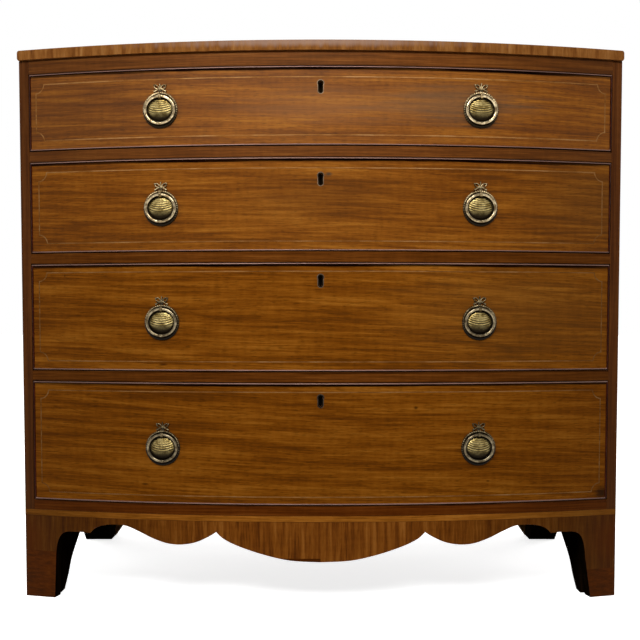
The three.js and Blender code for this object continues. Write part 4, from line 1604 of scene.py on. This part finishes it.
@dataclass
class RingHandle:
    """A stamped plate with a ring, modelled once. Its origin is behind the plate's middle.

    Attributes:
        rim_profile: Radius and height of the rim's rings in millimetres, from its back to the dome.
        dome_half_width: Half of the dome's width.
        dome_swell: How full its curve is. A half is round.
        sides: Corners of each ring of the plate.
        bead_crown: Radius of the beaded ring and half of its width, in millimetres.
        chase_pitch: From one line that is chased into the dome to the next.
        chase_sag: How much the lines bend down towards their ends, for each metre squared.
        chase_edge: Up to which share of the dome they run.
        chase_low: Height of the lowest line.
        rim_dirt_and_shade: Dirt of the rim at half its height, the painted shade that grows towards its
            foot, and how much its beads lessen it.
        dome_dirt_and_shade: The same for the dome, with that of its edge and its lines.
        hinge: Height of the ring's hinge over the plate's middle.
        standoff: How far the ring's wire hangs in front of the plate's back.
        ring_oval: The ring's width as a share of its height.
        reel_reach: Half of the length of the turned reel at the ring's lowest point.
        collar_angles: Where the reel's collars sit round the ring, in degrees.
        front_shade: Painted shade at the ring's sides, and how fast it gives way to its bright front.
        back_shade: The same towards its back.
        smooth_angle: Edges flatter than this are shaded as round.
    """

    rim_profile: Sequence[Station] = (
        (29.5, 0.0),
        (30.0, 0.4),
        (30.0, 1.3),
        (29.7, 1.9),
        (29.2, 2.4),
        (28.7, 2.65),
        (28.1, 2.7),
        (27.5, 2.65),
        (26.9, 2.35),
        (26.3, 1.8),
        (25.6, 1.35),
        (24.4, 1.3),
        (22.6, 1.3),
        (22.0, 1.3),
    )
    dome_half_width: float = 21.8 * MM
    dome_half_height: float = 18.4 * MM
    dome_height: float = 6.4 * MM
    dome_swell: float = 0.55
    sheet: float = 1.3 * MM
    dome_steps: int = 30
    sides: int = 240
    beads: int = 48
    bead_height: float = 0.4 * MM
    bead_crown: Pair = (28.1, 1.9)
    rim_start: float = 25.6
    chase_pitch: float = 3.9 * MM
    chase_depth: float = 0.36 * MM
    chase_sag: float = 12.0
    chase_edge: float = 0.94
    chase_fade: float = 0.12
    chase_low: float = -7 * MM
    chase_rise: float = 6 * MM
    rim_dirt_and_shade: Triple = (0.505, 1.25, 0.3)
    dome_dirt_and_shade: Triple = (0.28, 1.8, 0.5)
    hinge: float = 22.6 * MM
    standoff: float = 4.3 * MM
    ring_oval: float = 1.1
    wire: float = 2.4 * MM
    reel_reach: float = 1.8 * MM
    reel_swell: float = 1.12
    collar_angles: Sequence[float] = (-9.5, -5.5, 5.5, 9.5)
    collar_radius: float = 0.6 * MM
    front_shade: Pair = (1.3, 1.7)
    back_shade: Pair = (0.98, 0.5)
    eye_width: float = 4.4 * MM
    eye_radius: float = 4.2 * MM
    eye_hole: float = 2.7 * MM
    bolt_radius: float = 2.5 * MM
    bolt_end: float = 28.6 * MM
    nut_radius: float = 5.5 * MM
    nut_start: float = 22.6 * MM
    nut_thickness: float = 4 * MM
    smooth_angle: float = math.radians(50)
    brass: AgedBrass = AgedBrass(shades=(Shade("Z", 0.85, 0.3, 0.42),))
    crest: Crest = Crest()
    plate: Object | None = None
    ring: Object | None = None

    def dome_share(self, place: Vector) -> float:
        """How far from the dome's middle a place lies, as a share of the way to its edge."""
        return math.hypot(place.x / self.dome_half_width, place.z / self.dome_half_height)

    def bead(self, place: Vector) -> float:
        """Where a place lies on its bead of the rim: 1 on the crown of a bead and -1 between two."""
        return math.cos(self.beads * math.atan2(place.z, place.x))

    def pressed(self, place: Vector) -> float:
        """How far the die pushes a point out: the beads of the rim and the chased lines of the dome."""
        middle, half = self.bead_crown
        crown = max(0.0, 1 - ((math.hypot(place.x, place.z) / MM - middle) / half) ** 2)
        bead = self.bead_height * crown * self.bead(place)
        share = self.dome_share(place)
        if share > self.chase_edge or place.y > -self.sheet:
            return bead
        fade = min(1.0, (self.chase_edge - share) / self.chase_fade)
        fade *= min(1.0, max(0.0, (place.z - self.chase_low) / self.chase_rise))
        bowed = place.z - self.chase_sag * place.x**2
        return bead + self.chase_depth * fade * math.cos(2 * math.pi * bowed / self.chase_pitch)

    def build_disc(self) -> Object:
        """The stamped plate itself, from its back to the top of its dome."""
        rings = [(radius * MM, out * MM) for radius, out in self.rim_profile]
        oval = [1.0] * len(rings)
        for k in range(self.dome_steps):
            share = 1 - k / self.dome_steps
            swell = (1 - share**2) ** self.dome_swell
            out = self.sheet + swell * (self.dome_height - self.sheet)
            rings.append((share * self.dome_half_width, out))
            oval.append(self.dome_half_height / self.dome_half_width)
        disc = turned("disc", rings, self.sides, oval)
        for corner in disc.data.vertices:
            corner.co.y -= self.pressed(corner.co)
        mark_dirt_and_shade(disc, self.disc_dirt_and_shade)
        return disc

    def disc_dirt_and_shade(self, place: Vector) -> float:
        """How dark a point of the plate is: dirt in its hollows and chased lines, and painted shade
        that grows towards its foot.
        """
        # Painted shade: rim and dome darken towards their foot, as the light falls from above.
        drop = -place.z / (2 * self.rim_profile[1][0] * MM)
        if math.hypot(place.x, place.z) / MM > self.rim_start:
            middle, growth, beads = self.rim_dirt_and_shade
            return middle + growth * drop - beads * self.bead(place)
        share = self.dome_share(place)
        if share > 0.97:
            return 1.0
        middle, growth, lines = self.dome_dirt_and_shade
        edge = share**12 - self.pressed(place) / self.chase_depth
        return middle + growth * drop + lines * edge

    def build_eye(self) -> Object:
        """The eye that the ring hangs in, the stem that holds it, and the bolt and nut behind."""
        bpy.ops.mesh.primitive_cylinder_add(
            vertices=40,
            radius=self.eye_radius,
            depth=self.eye_width,
            location=(0, -self.standoff, self.hinge),
            rotation=(0, math.pi / 2, 0),
        )
        eye = named("eye")
        with editing(eye):
            pick(eye, Pick.FACES, lambda _, normal: abs(normal.x) > ALONG)
            bpy.ops.mesh.inset(thickness=self.eye_radius - self.eye_hole)
            bpy.ops.mesh.bridge_edge_loops()
        soften(eye, 0.4 * MM)
        half, near = self.eye_width / 2, self.eye_hole - self.standoff
        tall = self.eye_radius * 0.8
        low, high = (-half, near, self.hinge - tall), (half, -self.sheet / 2, self.hinge + tall)
        stem = soften(add_block("stem", low, high), 0.3 * MM)
        rods = []
        for name, corners, radius, start, end in (
            ("bolt", 24, self.bolt_radius, -self.sheet / 2, self.bolt_end),
            ("nut", 6, self.nut_radius, self.nut_start, self.nut_start + self.nut_thickness),
        ):
            bpy.ops.mesh.primitive_cylinder_add(
                vertices=corners,
                radius=radius,
                depth=end - start,
                location=(0, (start + end) / 2, self.hinge),
                rotation=(math.pi / 2, 0, 0),
            )
            rods.append(soften(named(name), 0.5 * MM))
        whole = joined("eye", [eye, stem, *rods])
        mark_dirt_and_shade(whole, lambda place: 0.2 if place.y < -self.sheet else 0.7)
        return whole

    def build_ring(self) -> Object:
        """The ring, with a small turned reel at its lowest point."""
        bpy.ops.mesh.primitive_torus_add(
            major_radius=self.hinge,
            minor_radius=self.wire,
            major_segments=128,
            minor_segments=24,
            location=(0, -self.standoff, 0),
            rotation=(math.pi / 2, 0, 0),
        )
        parts = [named("wire", (self.ring_oval, 1, 1))]
        with editing(parts[0]):
            foot = (0, -self.standoff, -self.hinge)
            reach = self.reel_reach
            pick(parts[0], Pick.CORNERS, lambda place, _: abs(place.x) < reach and place.z < 0)
            swollen = (1, self.reel_swell, self.reel_swell)
            bpy.ops.transform.resize(value=swollen, center_override=foot)
        for angle in self.collar_angles:
            lean = math.radians(angle)
            bpy.ops.mesh.primitive_torus_add(
                major_radius=self.wire * 0.92,
                minor_radius=self.collar_radius,
                major_segments=28,
                minor_segments=10,
                location=(
                    self.ring_oval * self.hinge * math.sin(lean),
                    -self.standoff,
                    -self.hinge * math.cos(lean),
                ),
                rotation=(0, math.pi / 2 - lean, 0),
            )
            parts.append(named("collar"))
        ring = joined("ring", parts)
        for face in ring.data.polygons:
            face.use_smooth = True
        mark_dirt_and_shade(ring, self.ring_shade)
        return ring

    def ring_shade(self, place: Vector) -> float:
        """How dark the ring is painted at a place: painted shade most at its sides, less behind and
        least on its bright front.
        """
        share = (-place.y - self.standoff) / self.wire
        (front, front_fall), (back, back_fall) = self.front_shade, self.back_shade
        return min(front - front_fall * share, back + back_fall * share)

    def build(self) -> None:
        """Models the plate and the ring, and dresses them in their metal."""
        plate_parts = [self.build_disc(), self.build_eye(), self.crest.build()]
        self.plate = joined("plate_pattern", plate_parts)
        smooth(self.plate, self.smooth_angle)
        self.ring = self.build_ring()
        rubbed = AgedBrass("rubbed_stamped_brass", bright="#c0aa80", dull="#5e4a2e", roughness=0.2)
        dress(self.plate, rubbed.material(1.0), self.brass.material(1.5))
        paint(self.plate, 1, lambda middle, _: self.dome_share(middle) < 1 and middle.y < -self.sheet)
        polished = AgedBrass("worn_cast_brass", bright="#e0cca4", dull="#786446", roughness=0.14)
        dress(self.ring, polished.material(2.0))

    def put(self, pattern: Object, name: str, turn: Matrix) -> Object:
        """Copies a pattern with its own mesh to its place on a drawer.

        Args:
            pattern: The piece that was modelled in the handle's frame.
            name: The copy's name.
            turn: Where the copy stands.

        Returns:
            The copy.
        """
        copy = bpy.data.objects.new(name, pattern.data.copy())
        copy.data.transform(turn)
        bpy.context.scene.collection.objects.link(copy)
        return copy

    def clear(self) -> None:
        """Removes the patterns once every copy is in place."""
        for pattern in (self.plate, self.ring):
            bpy.data.objects.remove(pattern)


@dataclass(frozen=True)
class DrawerPlan:
    """What differs from drawer to drawer.

    Attributes:
        key_drop: From its top edge to the middle of its keyhole.
        slope: How steeply its grain falls to the right.
        polish: Specular level of its face.
        haze: Colour of the light that its polish throws back.
        string: From its ends, its top and its foot to the inlaid string.
        marks: Stains and knots in its veneer, and painted highlights, reflections and shade.
    """

    key_drop: float
    slope: float
    polish: float
    haze: str
    string: Triple
    marks: Sequence[Mark]


PLANS = (
    DrawerPlan(
        33.7 * MM, 0.015, 0.24, "#f4d4b8",
        (11.5 * MM, 16.5 * MM, 16.3 * MM),
        (
            # A painted highlight across the middle, painted shade over the left end, and a greyish
            # painted reflection right of the middle.
            Mark(0.0, 0.84, 200 * MM, 40 * MM, "#a26b3c", 0.35),
            Mark(-0.42, 0.842, 260 * MM, 120 * MM, "#4a280c", 0.34),
            Mark(0.22, 0.845, 190 * MM, 44 * MM, "#7c6448", 0.36),
        ),
    ),
    DrawerPlan(
        35.8 * MM, 0.02, 0.18, "#e8b890",
        (14.6 * MM, 16.3 * MM, 15.6 * MM),
        (
            Mark(0.0135, 0.7288, 9 * MM, 5 * MM, "#33352c", 0.85),
            Mark(0.06, 0.7, 60 * MM, 8 * MM, "#4a2006", 0.4),
            Mark(-0.07, 0.69, 50 * MM, 8 * MM, "#5a2a08", 0.4),
            # Painted shade over the right end, and a darker middle.
            Mark(0.5, 0.69, 260 * MM, 120 * MM, "#553616", 0.36),
            Mark(0.0, 0.69, 220 * MM, 60 * MM, "#5c340e", 0.3),
        ),
    ),
    DrawerPlan(
        29.9 * MM, 0.035, 0.2, "#d08840",
        (12.9 * MM, 13.1 * MM, 15.3 * MM),
        (
            Mark(-0.44, 0.562, 1.5 * MM, 3.5 * MM, "#240c02", 0.8),
            Mark(-0.267, 0.4105, 11 * MM, 2.6 * MM, "#2a0c02", 0.85),
            # A greyish painted reflection over the right half.
            Mark(0.34, 0.5, 300 * MM, 120 * MM, "#6c4820", 0.34),
        ),
    ),
    DrawerPlan(
        30 * MM, 0.035, 0.18, "#c87c30",
        (12.9 * MM, 14.4 * MM, 13.1 * MM),
        (
            Mark(0.161, 0.338, 5 * MM, 4 * MM, "#2a1103", 0.8),
            Mark(-0.3, 0.206, 8 * MM, 3 * MM, "#341705", 0.7),
            Mark(0.286, 0.2115, 5 * MM, 2.4 * MM, "#2a1103", 0.8),
            Mark(0.492, 0.184, 20 * MM, 14 * MM, "#140602", 0.95),
        ),
    ),
)


@dataclass
class Drawer:
    """One drawer, with its veneered front, its inlay, its handles and its lock.

    Attributes:
        bow: The arc of its front.
        handle: The pattern of its handles.
        hinges: Place and axis of each ring's joint, by side.
        plan: What is its own.
        front_angle: Edges of the front flatter than this are shaded as round.
        handle_shadow_drop: How far below a ring's hinge the handle's painted shadow lies on the veneer.
        handle_shadow_size: Half of the length and of the height of that place.
        bead_shadow: How far below the upper bead its painted shadow lies, and half of its height.
        bead_depth: How deep the cockbead is let in.
        bead_round: Rounding of its edges, as a share of its width.
        string_corner: Radius of the string's hollow corners.
        string_hollow: Blender's profile for a corner that is a quarter round turned inwards.
        string_widths: Widths of the light string and of the dark line inside it.
        string_proud: How far both stand out.
        escutcheon_rim: Width of the brass thread round it.
        thread_shares: Its lines from the outer to the inner edge, in shares of its width.
    """

    number: int
    bow: Bow
    handle: RingHandle
    hinges: Mapping[str, tuple[Vector, Vector]]
    plan: DrawerPlan
    front_thickness: float = 22 * MM
    front_angle: float = math.radians(20)
    lining_arris: float = 0.4 * MM
    metal_arris: float = 0.3 * MM
    handle_shadow_drop: float = 26 * MM
    handle_shadow_size: Pair = (41 * MM, 37 * MM)
    bead_shadow: Pair = (1.2 * MM, 3.6 * MM)
    bead_width: float = 3 * MM
    bead_proud: float = 1.4 * MM
    bead_depth: float = 4.7 * MM
    bead_round: float = 0.42
    string_corner: float = 15 * MM
    string_hollow: float = 0.0858
    string_widths: Pair = (1.1 * MM, 0.7 * MM)
    string_proud: float = 0.12 * MM
    keyhole_height: float = 18 * MM
    keyhole_radius: float = 3.2 * MM
    keyhole_shank: float = 2.4 * MM
    escutcheon_rim: float = 3.2 * MM
    escutcheon_depth: float = 1.5 * MM
    escutcheon_proud: float = 0.15 * MM
    thread_shares: Sequence[float] = (1.0, 0.9, 0.62, 0.52, 0.0)

    @property
    def body(self) -> str:
        """The body that the drawer's pieces ride on."""
        return f"drawer_{self.number}"

    def build(self) -> None:
        """Builds and dresses the whole drawer."""
        low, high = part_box(f"{self.body}_front")
        self.build_front(high)
        self.build_bead(high.x, low.z, high.z)
        self.build_string(high.x, low.z, high.z)
        self.build_escutcheon(high.z - self.plan.key_drop)
        self.build_box()
        self.build_lock()
        self.build_handles()

    def build_front(self, high: Vector) -> None:
        """The lipped front, whose outer face is veneered, with a painted shadow under its upper bead
        and under each handle.
        """
        piece = node_copy(f"{self.body}_front", f"front_{self.body}")
        self.bow.refine(piece, high.x, [0.0, -self.front_thickness])
        smooth(piece, self.front_angle)
        seed = 20.0 + 3.7 * self.number
        marks = list(self.plan.marks)
        # Painted shadow of each handle on the veneer below its plate.
        for hinge, _ in self.hinges.values():
            rubbed = (hinge.x + MM, hinge.z - self.handle_shadow_drop)
            marks.append(Mark(*rubbed, *self.handle_shadow_size, "#241003", 0.75))
        # Painted shadow of the upper bead: a black line below it that also hides the polish's
        # reflections.
        drop, height = self.bead_shadow
        below = high.z - self.bead_width - drop
        marks.append(Mark(0.0, below, WHOLE_WIDTH, height, SHADOW_BLACK, 1.0, matt=1.0))
        polish = {"specular": self.plan.polish, "sheen_tint": self.plan.haze}
        finish = replace(DRAWER_VENEER, slope=self.plan.slope, **polish)
        veneer = finish.material(seed, marks, DRAWER_SHADES)
        dress(piece, GROUND_MAHOGANY.material(seed), veneer)
        paint(piece, 1, self.bow.shows)
        seat(piece, self.body, "mahogany_veneer", f"{self.body}_front")

    def add_sheet(self, name: str, half: float, low: float, high: float, depth: float) -> Object:
        """A flat sheet of half a width between two heights, a depth in front of the front's face."""
        middle = (0, -depth, (low + high) / 2)
        bpy.ops.mesh.primitive_plane_add(size=1, location=middle, rotation=(math.pi / 2, 0, 0))
        return named(name, (2 * half, high - low, 1))

    def inlay_strips(self, piece: Object, widths: Sequence[float]) -> None:
        """Insets a flat sheet strip by strip, numbers each strip's material and opens its middle."""
        with editing(piece):
            bpy.ops.mesh.select_mode(type=Pick.FACES.value)
            bpy.ops.mesh.select_all(action="SELECT")
            for number, width in enumerate(widths):
                bpy.ops.mesh.inset(thickness=width)
                bpy.ops.object.material_slot_add()
                piece.active_material_index = min(number + 1, len(piece.material_slots) - 1)
                bpy.ops.object.material_slot_assign()
            bpy.ops.mesh.delete(type="FACE")

    def build_bead(self, half: float, low: float, high: float) -> None:
        """The mitred cockbead round the front, rounded on its edge: a painted highlight above and
        painted shade below.
        """
        reach = self.bow.along(half, self.bead_proud)
        piece = self.add_sheet(f"bead_{self.body}", reach, low, high, self.bead_proud)
        self.inlay_strips(piece, [self.bead_width])
        self.bow.columns(piece, FINE_COLUMNS)
        thicken(piece, (0, self.bead_proud + self.bead_depth, 0))
        round_edges(piece, self.bead_round * self.bead_width, 4)
        self.bow.bend(piece)
        smooth(piece)
        seed = 40.0 + self.number
        # The painted highlight fades towards the ends and towards the floor.
        ends = (Shade("X", 0.15, 0.5, 0.45), Shade("Z", 0.85, 0.2, 0.3))
        plain, crown = BEAD_MAHOGANY.material(seed), BEAD_HIGHLIGHT.material(seed, shades=ends)
        dress(piece, plain, crown, BEAD_SHADE.material(seed))
        # Faces that look forwards take the painted highlight, faces that look down the painted shade,
        # and the upright ends stay plain.
        paint(piece, 1, lambda _, normal: normal.y < -0.1 and abs(normal.x) < 2 * SLIGHTLY)
        paint(piece, 2, lambda _, normal: normal.z < -0.05)
        inner = half - 2 * self.bead_width
        paint(piece, 0, lambda middle, normal: abs(middle.x) > inner and abs(normal.z) < 0.2)
        seat(piece, self.body, "cockbead", f"{self.body}_cockbead")

    def build_string(self, half: float, low: float, high: float) -> None:
        """The boxwood string with hollow corners, and the dark line inside it."""
        from_end, from_top, from_foot = self.plan.string
        reach = self.bow.along(half - from_end)
        foot, top = low + from_foot, high - from_top
        piece = self.add_sheet(f"string_{self.body}", reach, foot, top, self.string_proud)
        with editing(piece):
            bpy.ops.mesh.select_all(action="SELECT")
            bpy.ops.mesh.bevel(
                offset=self.string_corner, segments=7, profile=self.string_hollow, affect="VERTICES"
            )
        self.inlay_strips(piece, self.string_widths)
        self.bow.columns(piece, FINE_COLUMNS)
        thicken(piece, (0, 8 * self.string_proud, 0))
        self.bow.bend(piece)
        seed = 50.0 + self.number
        numbers = [face.material_index for face in piece.data.polygons]
        # The fronts' painted shade, and the string fainter towards its ends and on the lower drawers.
        faded = (*DRAWER_SHADES, Shade("X", 0.3, 0.5, 0.2), Shade("Z", 0.8, 0.6, 0.22))
        light = BOXWOOD.material(seed, shades=faded)
        dress(piece, light, EBONY_LINE.material(seed, shades=DRAWER_SHADES))
        for face, number in zip(piece.data.polygons, numbers):
            face.material_index = min(number, 1)
        seat(piece, self.body, "mahogany_veneer")

    def keyhole_line(self, middle: float, margin: float) -> list[Station]:
        """The keyhole's outline with a margin, round its head and its foot.

        Args:
            middle: Height of the keyhole's middle.
            margin: How far outside the hole the line runs.

        Returns:
            Points of x and z, all round.
        """
        steps = 24
        top = middle + self.keyhole_height / 2 - self.keyhole_radius
        foot = middle - self.keyhole_height / 2 + self.keyhole_shank
        head, shank = self.keyhole_radius + margin, self.keyhole_shank + margin
        meet = math.acos(shank / head)
        line = []
        for k in range(steps + 1):
            angle = -meet + (math.pi + 2 * meet) * k / steps
            line.append((head * math.cos(angle), top + head * math.sin(angle)))
        for k in range(steps // 2 + 1):
            angle = math.pi + 2 * math.pi * k / steps
            line.append((shank * math.cos(angle), foot + shank * math.sin(angle)))
        return line

    def build_escutcheon(self, middle: float) -> None:
        """The brass thread let in round the keyhole, with dirt along its outer edge and painted shade
        along its inner edge, which widens the keyhole's dark.
        """
        margins = [share * self.escutcheon_rim for share in self.thread_shares]
        lines = [self.keyhole_line(middle, margin) for margin in margins]
        count = len(lines[0])
        bpy.ops.mesh.primitive_circle_add(
            vertices=count,
            radius=self.escutcheon_rim,
            rotation=(math.pi / 2, 0, 0),
            fill_type="NOTHING",
        )
        piece = named(f"escutcheon_{self.body}")
        with editing(piece):
            bpy.ops.mesh.select_all(action="SELECT")
            for _ in lines[1:]:
                bpy.ops.mesh.extrude_edges_move(TRANSFORM_OT_translate={"value": (0, 0, 0)})
        face_y = self.bow.apex_y - self.escutcheon_proud
        for corner, (x, z) in zip(piece.data.vertices, [point for line in lines for point in line]):
            corner.co = (x, face_y, z)
        thicken(piece, (0, self.escutcheon_depth, 0))
        top = middle + self.keyhole_height / 2 - self.keyhole_radius
        foot = middle - self.keyhole_height / 2 + self.keyhole_shank
        mark_dirt_and_shade(piece, lambda place: self.thread_dirt_and_shade(place, foot, top))
        tarnished = AgedBrass("tarnished_brass_thread", "#8a7058", "#66503c", roughness=0.55)
        dress(piece, tarnished.material(self.number))
        seat(piece, self.body, "brass")

    def thread_dirt_and_shade(self, place: Vector, foot: float, top: float) -> float:
        """How dark a point of the keyhole's thread is: dirt along its outer edge, painted shade along
        its inner edge.

        Args:
            place: The point.
            foot: Height of the middle of the keyhole's lower end.
            top: Height of the middle of its head.

        Returns:
            1 along both edges of the thread and almost nothing between them.
        """
        head = math.hypot(place.x, place.z - top) - self.keyhole_radius
        shank = math.hypot(place.x, place.z - min(max(place.z, foot), top)) - self.keyhole_shank
        share = min(head, shank) / self.escutcheon_rim
        return 0.1 if self.thread_shares[2] - 0.02 < share < self.thread_shares[1] + 0.02 else 1.0

    def build_box(self) -> None:
        """The drawer's sides, back and bottom."""
        for place, part in enumerate(("side_left", "side_right", "back", "bottom")):
            finish, slot = (BOTTOM_PINE, "pine") if part == "bottom" else (LINING_OAK, "oak")
            piece = node_copy(f"{self.body}_{part}", f"lining_{self.body}_{part}")
            soften(piece, self.lining_arris)
            seed = 60.0 + 5 * self.number + place
            grain = replace(finish, grain=Grain.ACROSS_WIDTH) if part == "back" else finish
            dress(piece, grain.material(seed))
            seat(piece, self.body, slot, f"{self.body}_{part}")

    def build_lock(self) -> None:
        """The lock's case and its bolt."""
        case = soften(node_copy(f"{self.body}_lock", f"lock_{self.body}"), self.metal_arris)
        mark_dirt_and_shade(case, lambda place: 1.0 if abs(place.x) < 6 * MM else 0.5)
        dull = AgedBrass("dull_lock_brass", bright="#9a8350", dull="#6e5a32", roughness=0.45)
        dress(case, dull.material(3.0))
        seat(case, self.body, "brass", f"{self.body}_lock")
        bolt = soften(node_copy(f"{self.body}_lock_bolt", f"bolt_{self.body}"), self.metal_arris)
        mark_dirt_and_shade(bolt, lambda _: 0.3)
        steel = replace(dull, name="old_bolt_steel", bright="#8c8a86", dull="#5a5550", crust_and_shade="#2a1c12")
        dress(bolt, replace(steel, roughness=0.4).material(4.0))
        seat(bolt, f"{self.body}_bolt", "steel", f"{self.body}_lock_bolt")

    def build_handles(self) -> None:
        """Two handles: each plate rides on the drawer and each ring on its own hinge."""
        for side, (hinge, axis) in self.hinges.items():
            turn = Matrix.Rotation(math.atan2(-axis.y, -axis.x), 4, "Z")
            foot = hinge - turn @ Vector((0, -self.handle.standoff, self.handle.hinge))
            stand = Matrix.Translation(foot) @ turn
            plate = self.handle.put(self.handle.plate, f"plate_{self.body}_{side}", stand)
            seat(plate, self.body, "brass", f"{self.body}_plate_{side}")
            ring = self.handle.put(self.handle.ring, f"ring_{self.body}_{side}", stand)
            seat(ring, f"{self.body}_ring_{side}", "brass", f"{self.body}_ring_{side}")


@dataclass
class Studio:
    """Floor, light and camera.

    Attributes:
        shift: The camera's upward shift, as a share of the frame.
        key_aim: What every lamp looks at.
        fill_places: Where the lamps at the sides and the back stand.
        sky_heights: Between which heights of a ray, as shares, that light grows.
        sky_shares: Its strength there, in shares of its whole.
        floor_bounce: Its colour for the light that it throws on the chest.
        glow_reach: Between which distances from the middle its glow grows.
        floor_glow: The glow there, which keeps it pale behind the chest.
    """

    eye: Point = (-0.001, -1.9215, 0.4863)
    pitch: float = math.radians(2.757)
    lens: float = 55.02
    shift: float = 0.0736
    key_place: Point = (-0.4, -2.9, 2.6)
    key_aim: Point = (0.0, -0.28, 0.5)
    key_size: Pair = (2.2, 1.1)
    key_power: float = 98.0
    fill_places: Sequence[Point] = ((-3.2, 0.7, 1.5), (3.2, 0.7, 1.5), (0.0, 3.6, 1.9))
    fill_size: Pair = (1.8, 1.8)
    fill_power: float = 42.0
    sky: float = 0.26
    sky_heights: Pair = (-0.2, 0.9)
    sky_shares: Pair = (0.45, 1.5)
    floor_size: float = 60.0
    floor_paint: str = "#fafafa"
    floor_bounce: str = "#5a564e"
    floor_roughness: float = 0.9
    glow_reach: Pair = (0.8, 4.0)
    floor_glow: Pair = (0.78, 1.0)

    def build(self) -> None:
        """Sets up the whole studio."""
        scene = bpy.context.scene
        scene.view_settings.view_transform = "Standard"
        camera = bpy.data.objects.new("camera", bpy.data.cameras.new("camera"))
        scene.collection.objects.link(camera)
        camera.location = self.eye
        camera.rotation_euler = (math.pi / 2 - self.pitch, 0, 0)
        camera.data.lens, camera.data.shift_y = self.lens, self.shift
        camera.data.clip_end = 100
        scene.camera = camera
        self.add_lamp("softbox", self.key_place, self.key_size, self.key_power)
        for number, place in enumerate(self.fill_places):
            self.add_lamp(f"fill_{number}", place, self.fill_size, self.fill_power)
        self.build_sky(scene)
        self.build_floor()

    def add_lamp(self, name: str, place: Point, size: Pair, power: float) -> None:
        """Adds a soft lamp that looks at the middle of the chest.

        Args:
            name: The lamp's name.
            place: Where it stands.
            size: Its width and height.
            power: Its power in watts.
        """
        lamp = bpy.data.lights.new(name, "AREA")
        lamp.shape, lamp.energy = "RECTANGLE", power
        lamp.size, lamp.size_y = size
        stand = bpy.data.objects.new(name, lamp)
        stand.location = place
        way = Vector(self.key_aim) - Vector(place)
        stand.rotation_euler = way.to_track_quat("-Z", "Y").to_euler()
        stand.visible_camera = False
        bpy.context.scene.collection.objects.link(stand)

    def seen_directly(self, tree: NodeTree) -> NodeSocket:
        """Tells rays which show a surface to the eye from rays that light other surfaces."""
        path = node(tree, "LightPath").outputs
        shown = path["Is Camera Ray"]
        for name in ("Is Glossy Ray", "Is Transmission Ray"):
            either = {0: shown, 1: path[name]}
            shown = node(tree, "Math", either, operation="MAXIMUM").outputs[0]
        return shown

    def build_sky(self, scene: bpy.types.Scene) -> None:
        """A white surround that lights the chest softly, and more from above than from below."""
        world = bpy.data.worlds.new("studio")
        world.use_nodes = True
        scene.world = world
        tree = world.node_tree
        tree.nodes.clear()
        way = node(tree, "TexCoord").outputs["Generated"]
        height = node(tree, "SeparateXYZ", {0: way}).outputs["Z"]
        low, high = self.sky_heights
        least, most = (self.sky * share for share in self.sky_shares)
        fade = {"Value": height, "From Min": low, "From Max": high, "To Min": least, "To Max": most}
        level = node(tree, "MapRange", fade).outputs["Result"]
        layer = {0: self.seen_directly(tree), 2: level, 3: 1.0}
        strength = node(tree, "Mix", layer, data_type="FLOAT").outputs[0]
        shade = node(tree, "Background", {"Color": (1, 1, 1, 1), "Strength": strength})
        node(tree, "OutputWorld", {"Surface": shade.outputs[0]})

    def build_floor(self) -> None:
        """A plain pale floor that keeps the chest's shadow."""
        bpy.ops.mesh.primitive_plane_add(size=self.floor_size)
        floor = named("floor")
        material, tree, surface = new_finish("pale_floor_paint")
        shown = self.seen_directly(tree)
        layer = {0: shown, 6: linear(self.floor_bounce), 7: linear(self.floor_paint)}
        tone = node(tree, "Mix", layer, data_type="RGBA")
        place = node(tree, "TexCoord").outputs["Object"]
        away = node(tree, "VectorMath", {0: place}, operation="LENGTH").outputs["Value"]
        (start, full), (near, far) = self.glow_reach, self.floor_glow
        fade = {"Value": away, "From Min": start, "From Max": full, "To Min": near, "To Max": far}
        level = node(tree, "MapRange", fade).outputs["Result"]
        glow = node(tree, "Math", {0: shown, 1: level}, operation="MULTIPLY")
        feed(surface, {"Base Color": tone.outputs[2], "Emission Strength": glow.outputs[0]})
        feed(surface, {"Emission Color": linear(WHITE), "Specular IOR Level": 0.0})
        feed(surface, {"Roughness": self.floor_roughness})
        dress(floor, material)


def ring_hinges(
    joints: Sequence[Mapping[str, object]],
    body: str,
) -> dict[str, tuple[Vector, Vector]]:
    """Place and axis of the joint of each ring of a drawer, by side, from the record's joints."""
    rings = {f"{body}_ring_{side}": side for side in ("left", "right")}
    return {
        rings[joint["child"]]: (Vector(joint["pos_m"]), Vector(joint["axis"]))
        for joint in joints
        if joint["child"] in rings
    }


def main() -> None:
    """Builds the chest in order."""
    logging.basicConfig(level=logging.INFO, format="%(message)s")
    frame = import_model()
    low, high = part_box("front_apron")
    rise = 68 * MM
    bow = Bow(half_width=high.x, rise=rise, corner_y=low.y + rise)
    Studio().build()
    Carcass(bow).build()
    handle = RingHandle()
    handle.build()
    for number, plan in enumerate(PLANS, 1):
        hinges = ring_hinges(frame["joints"], f"drawer_{number}")
        Drawer(number, bow, handle, hinges, plan).build()
    handle.clear()


if __name__ == "__main__":
    main()
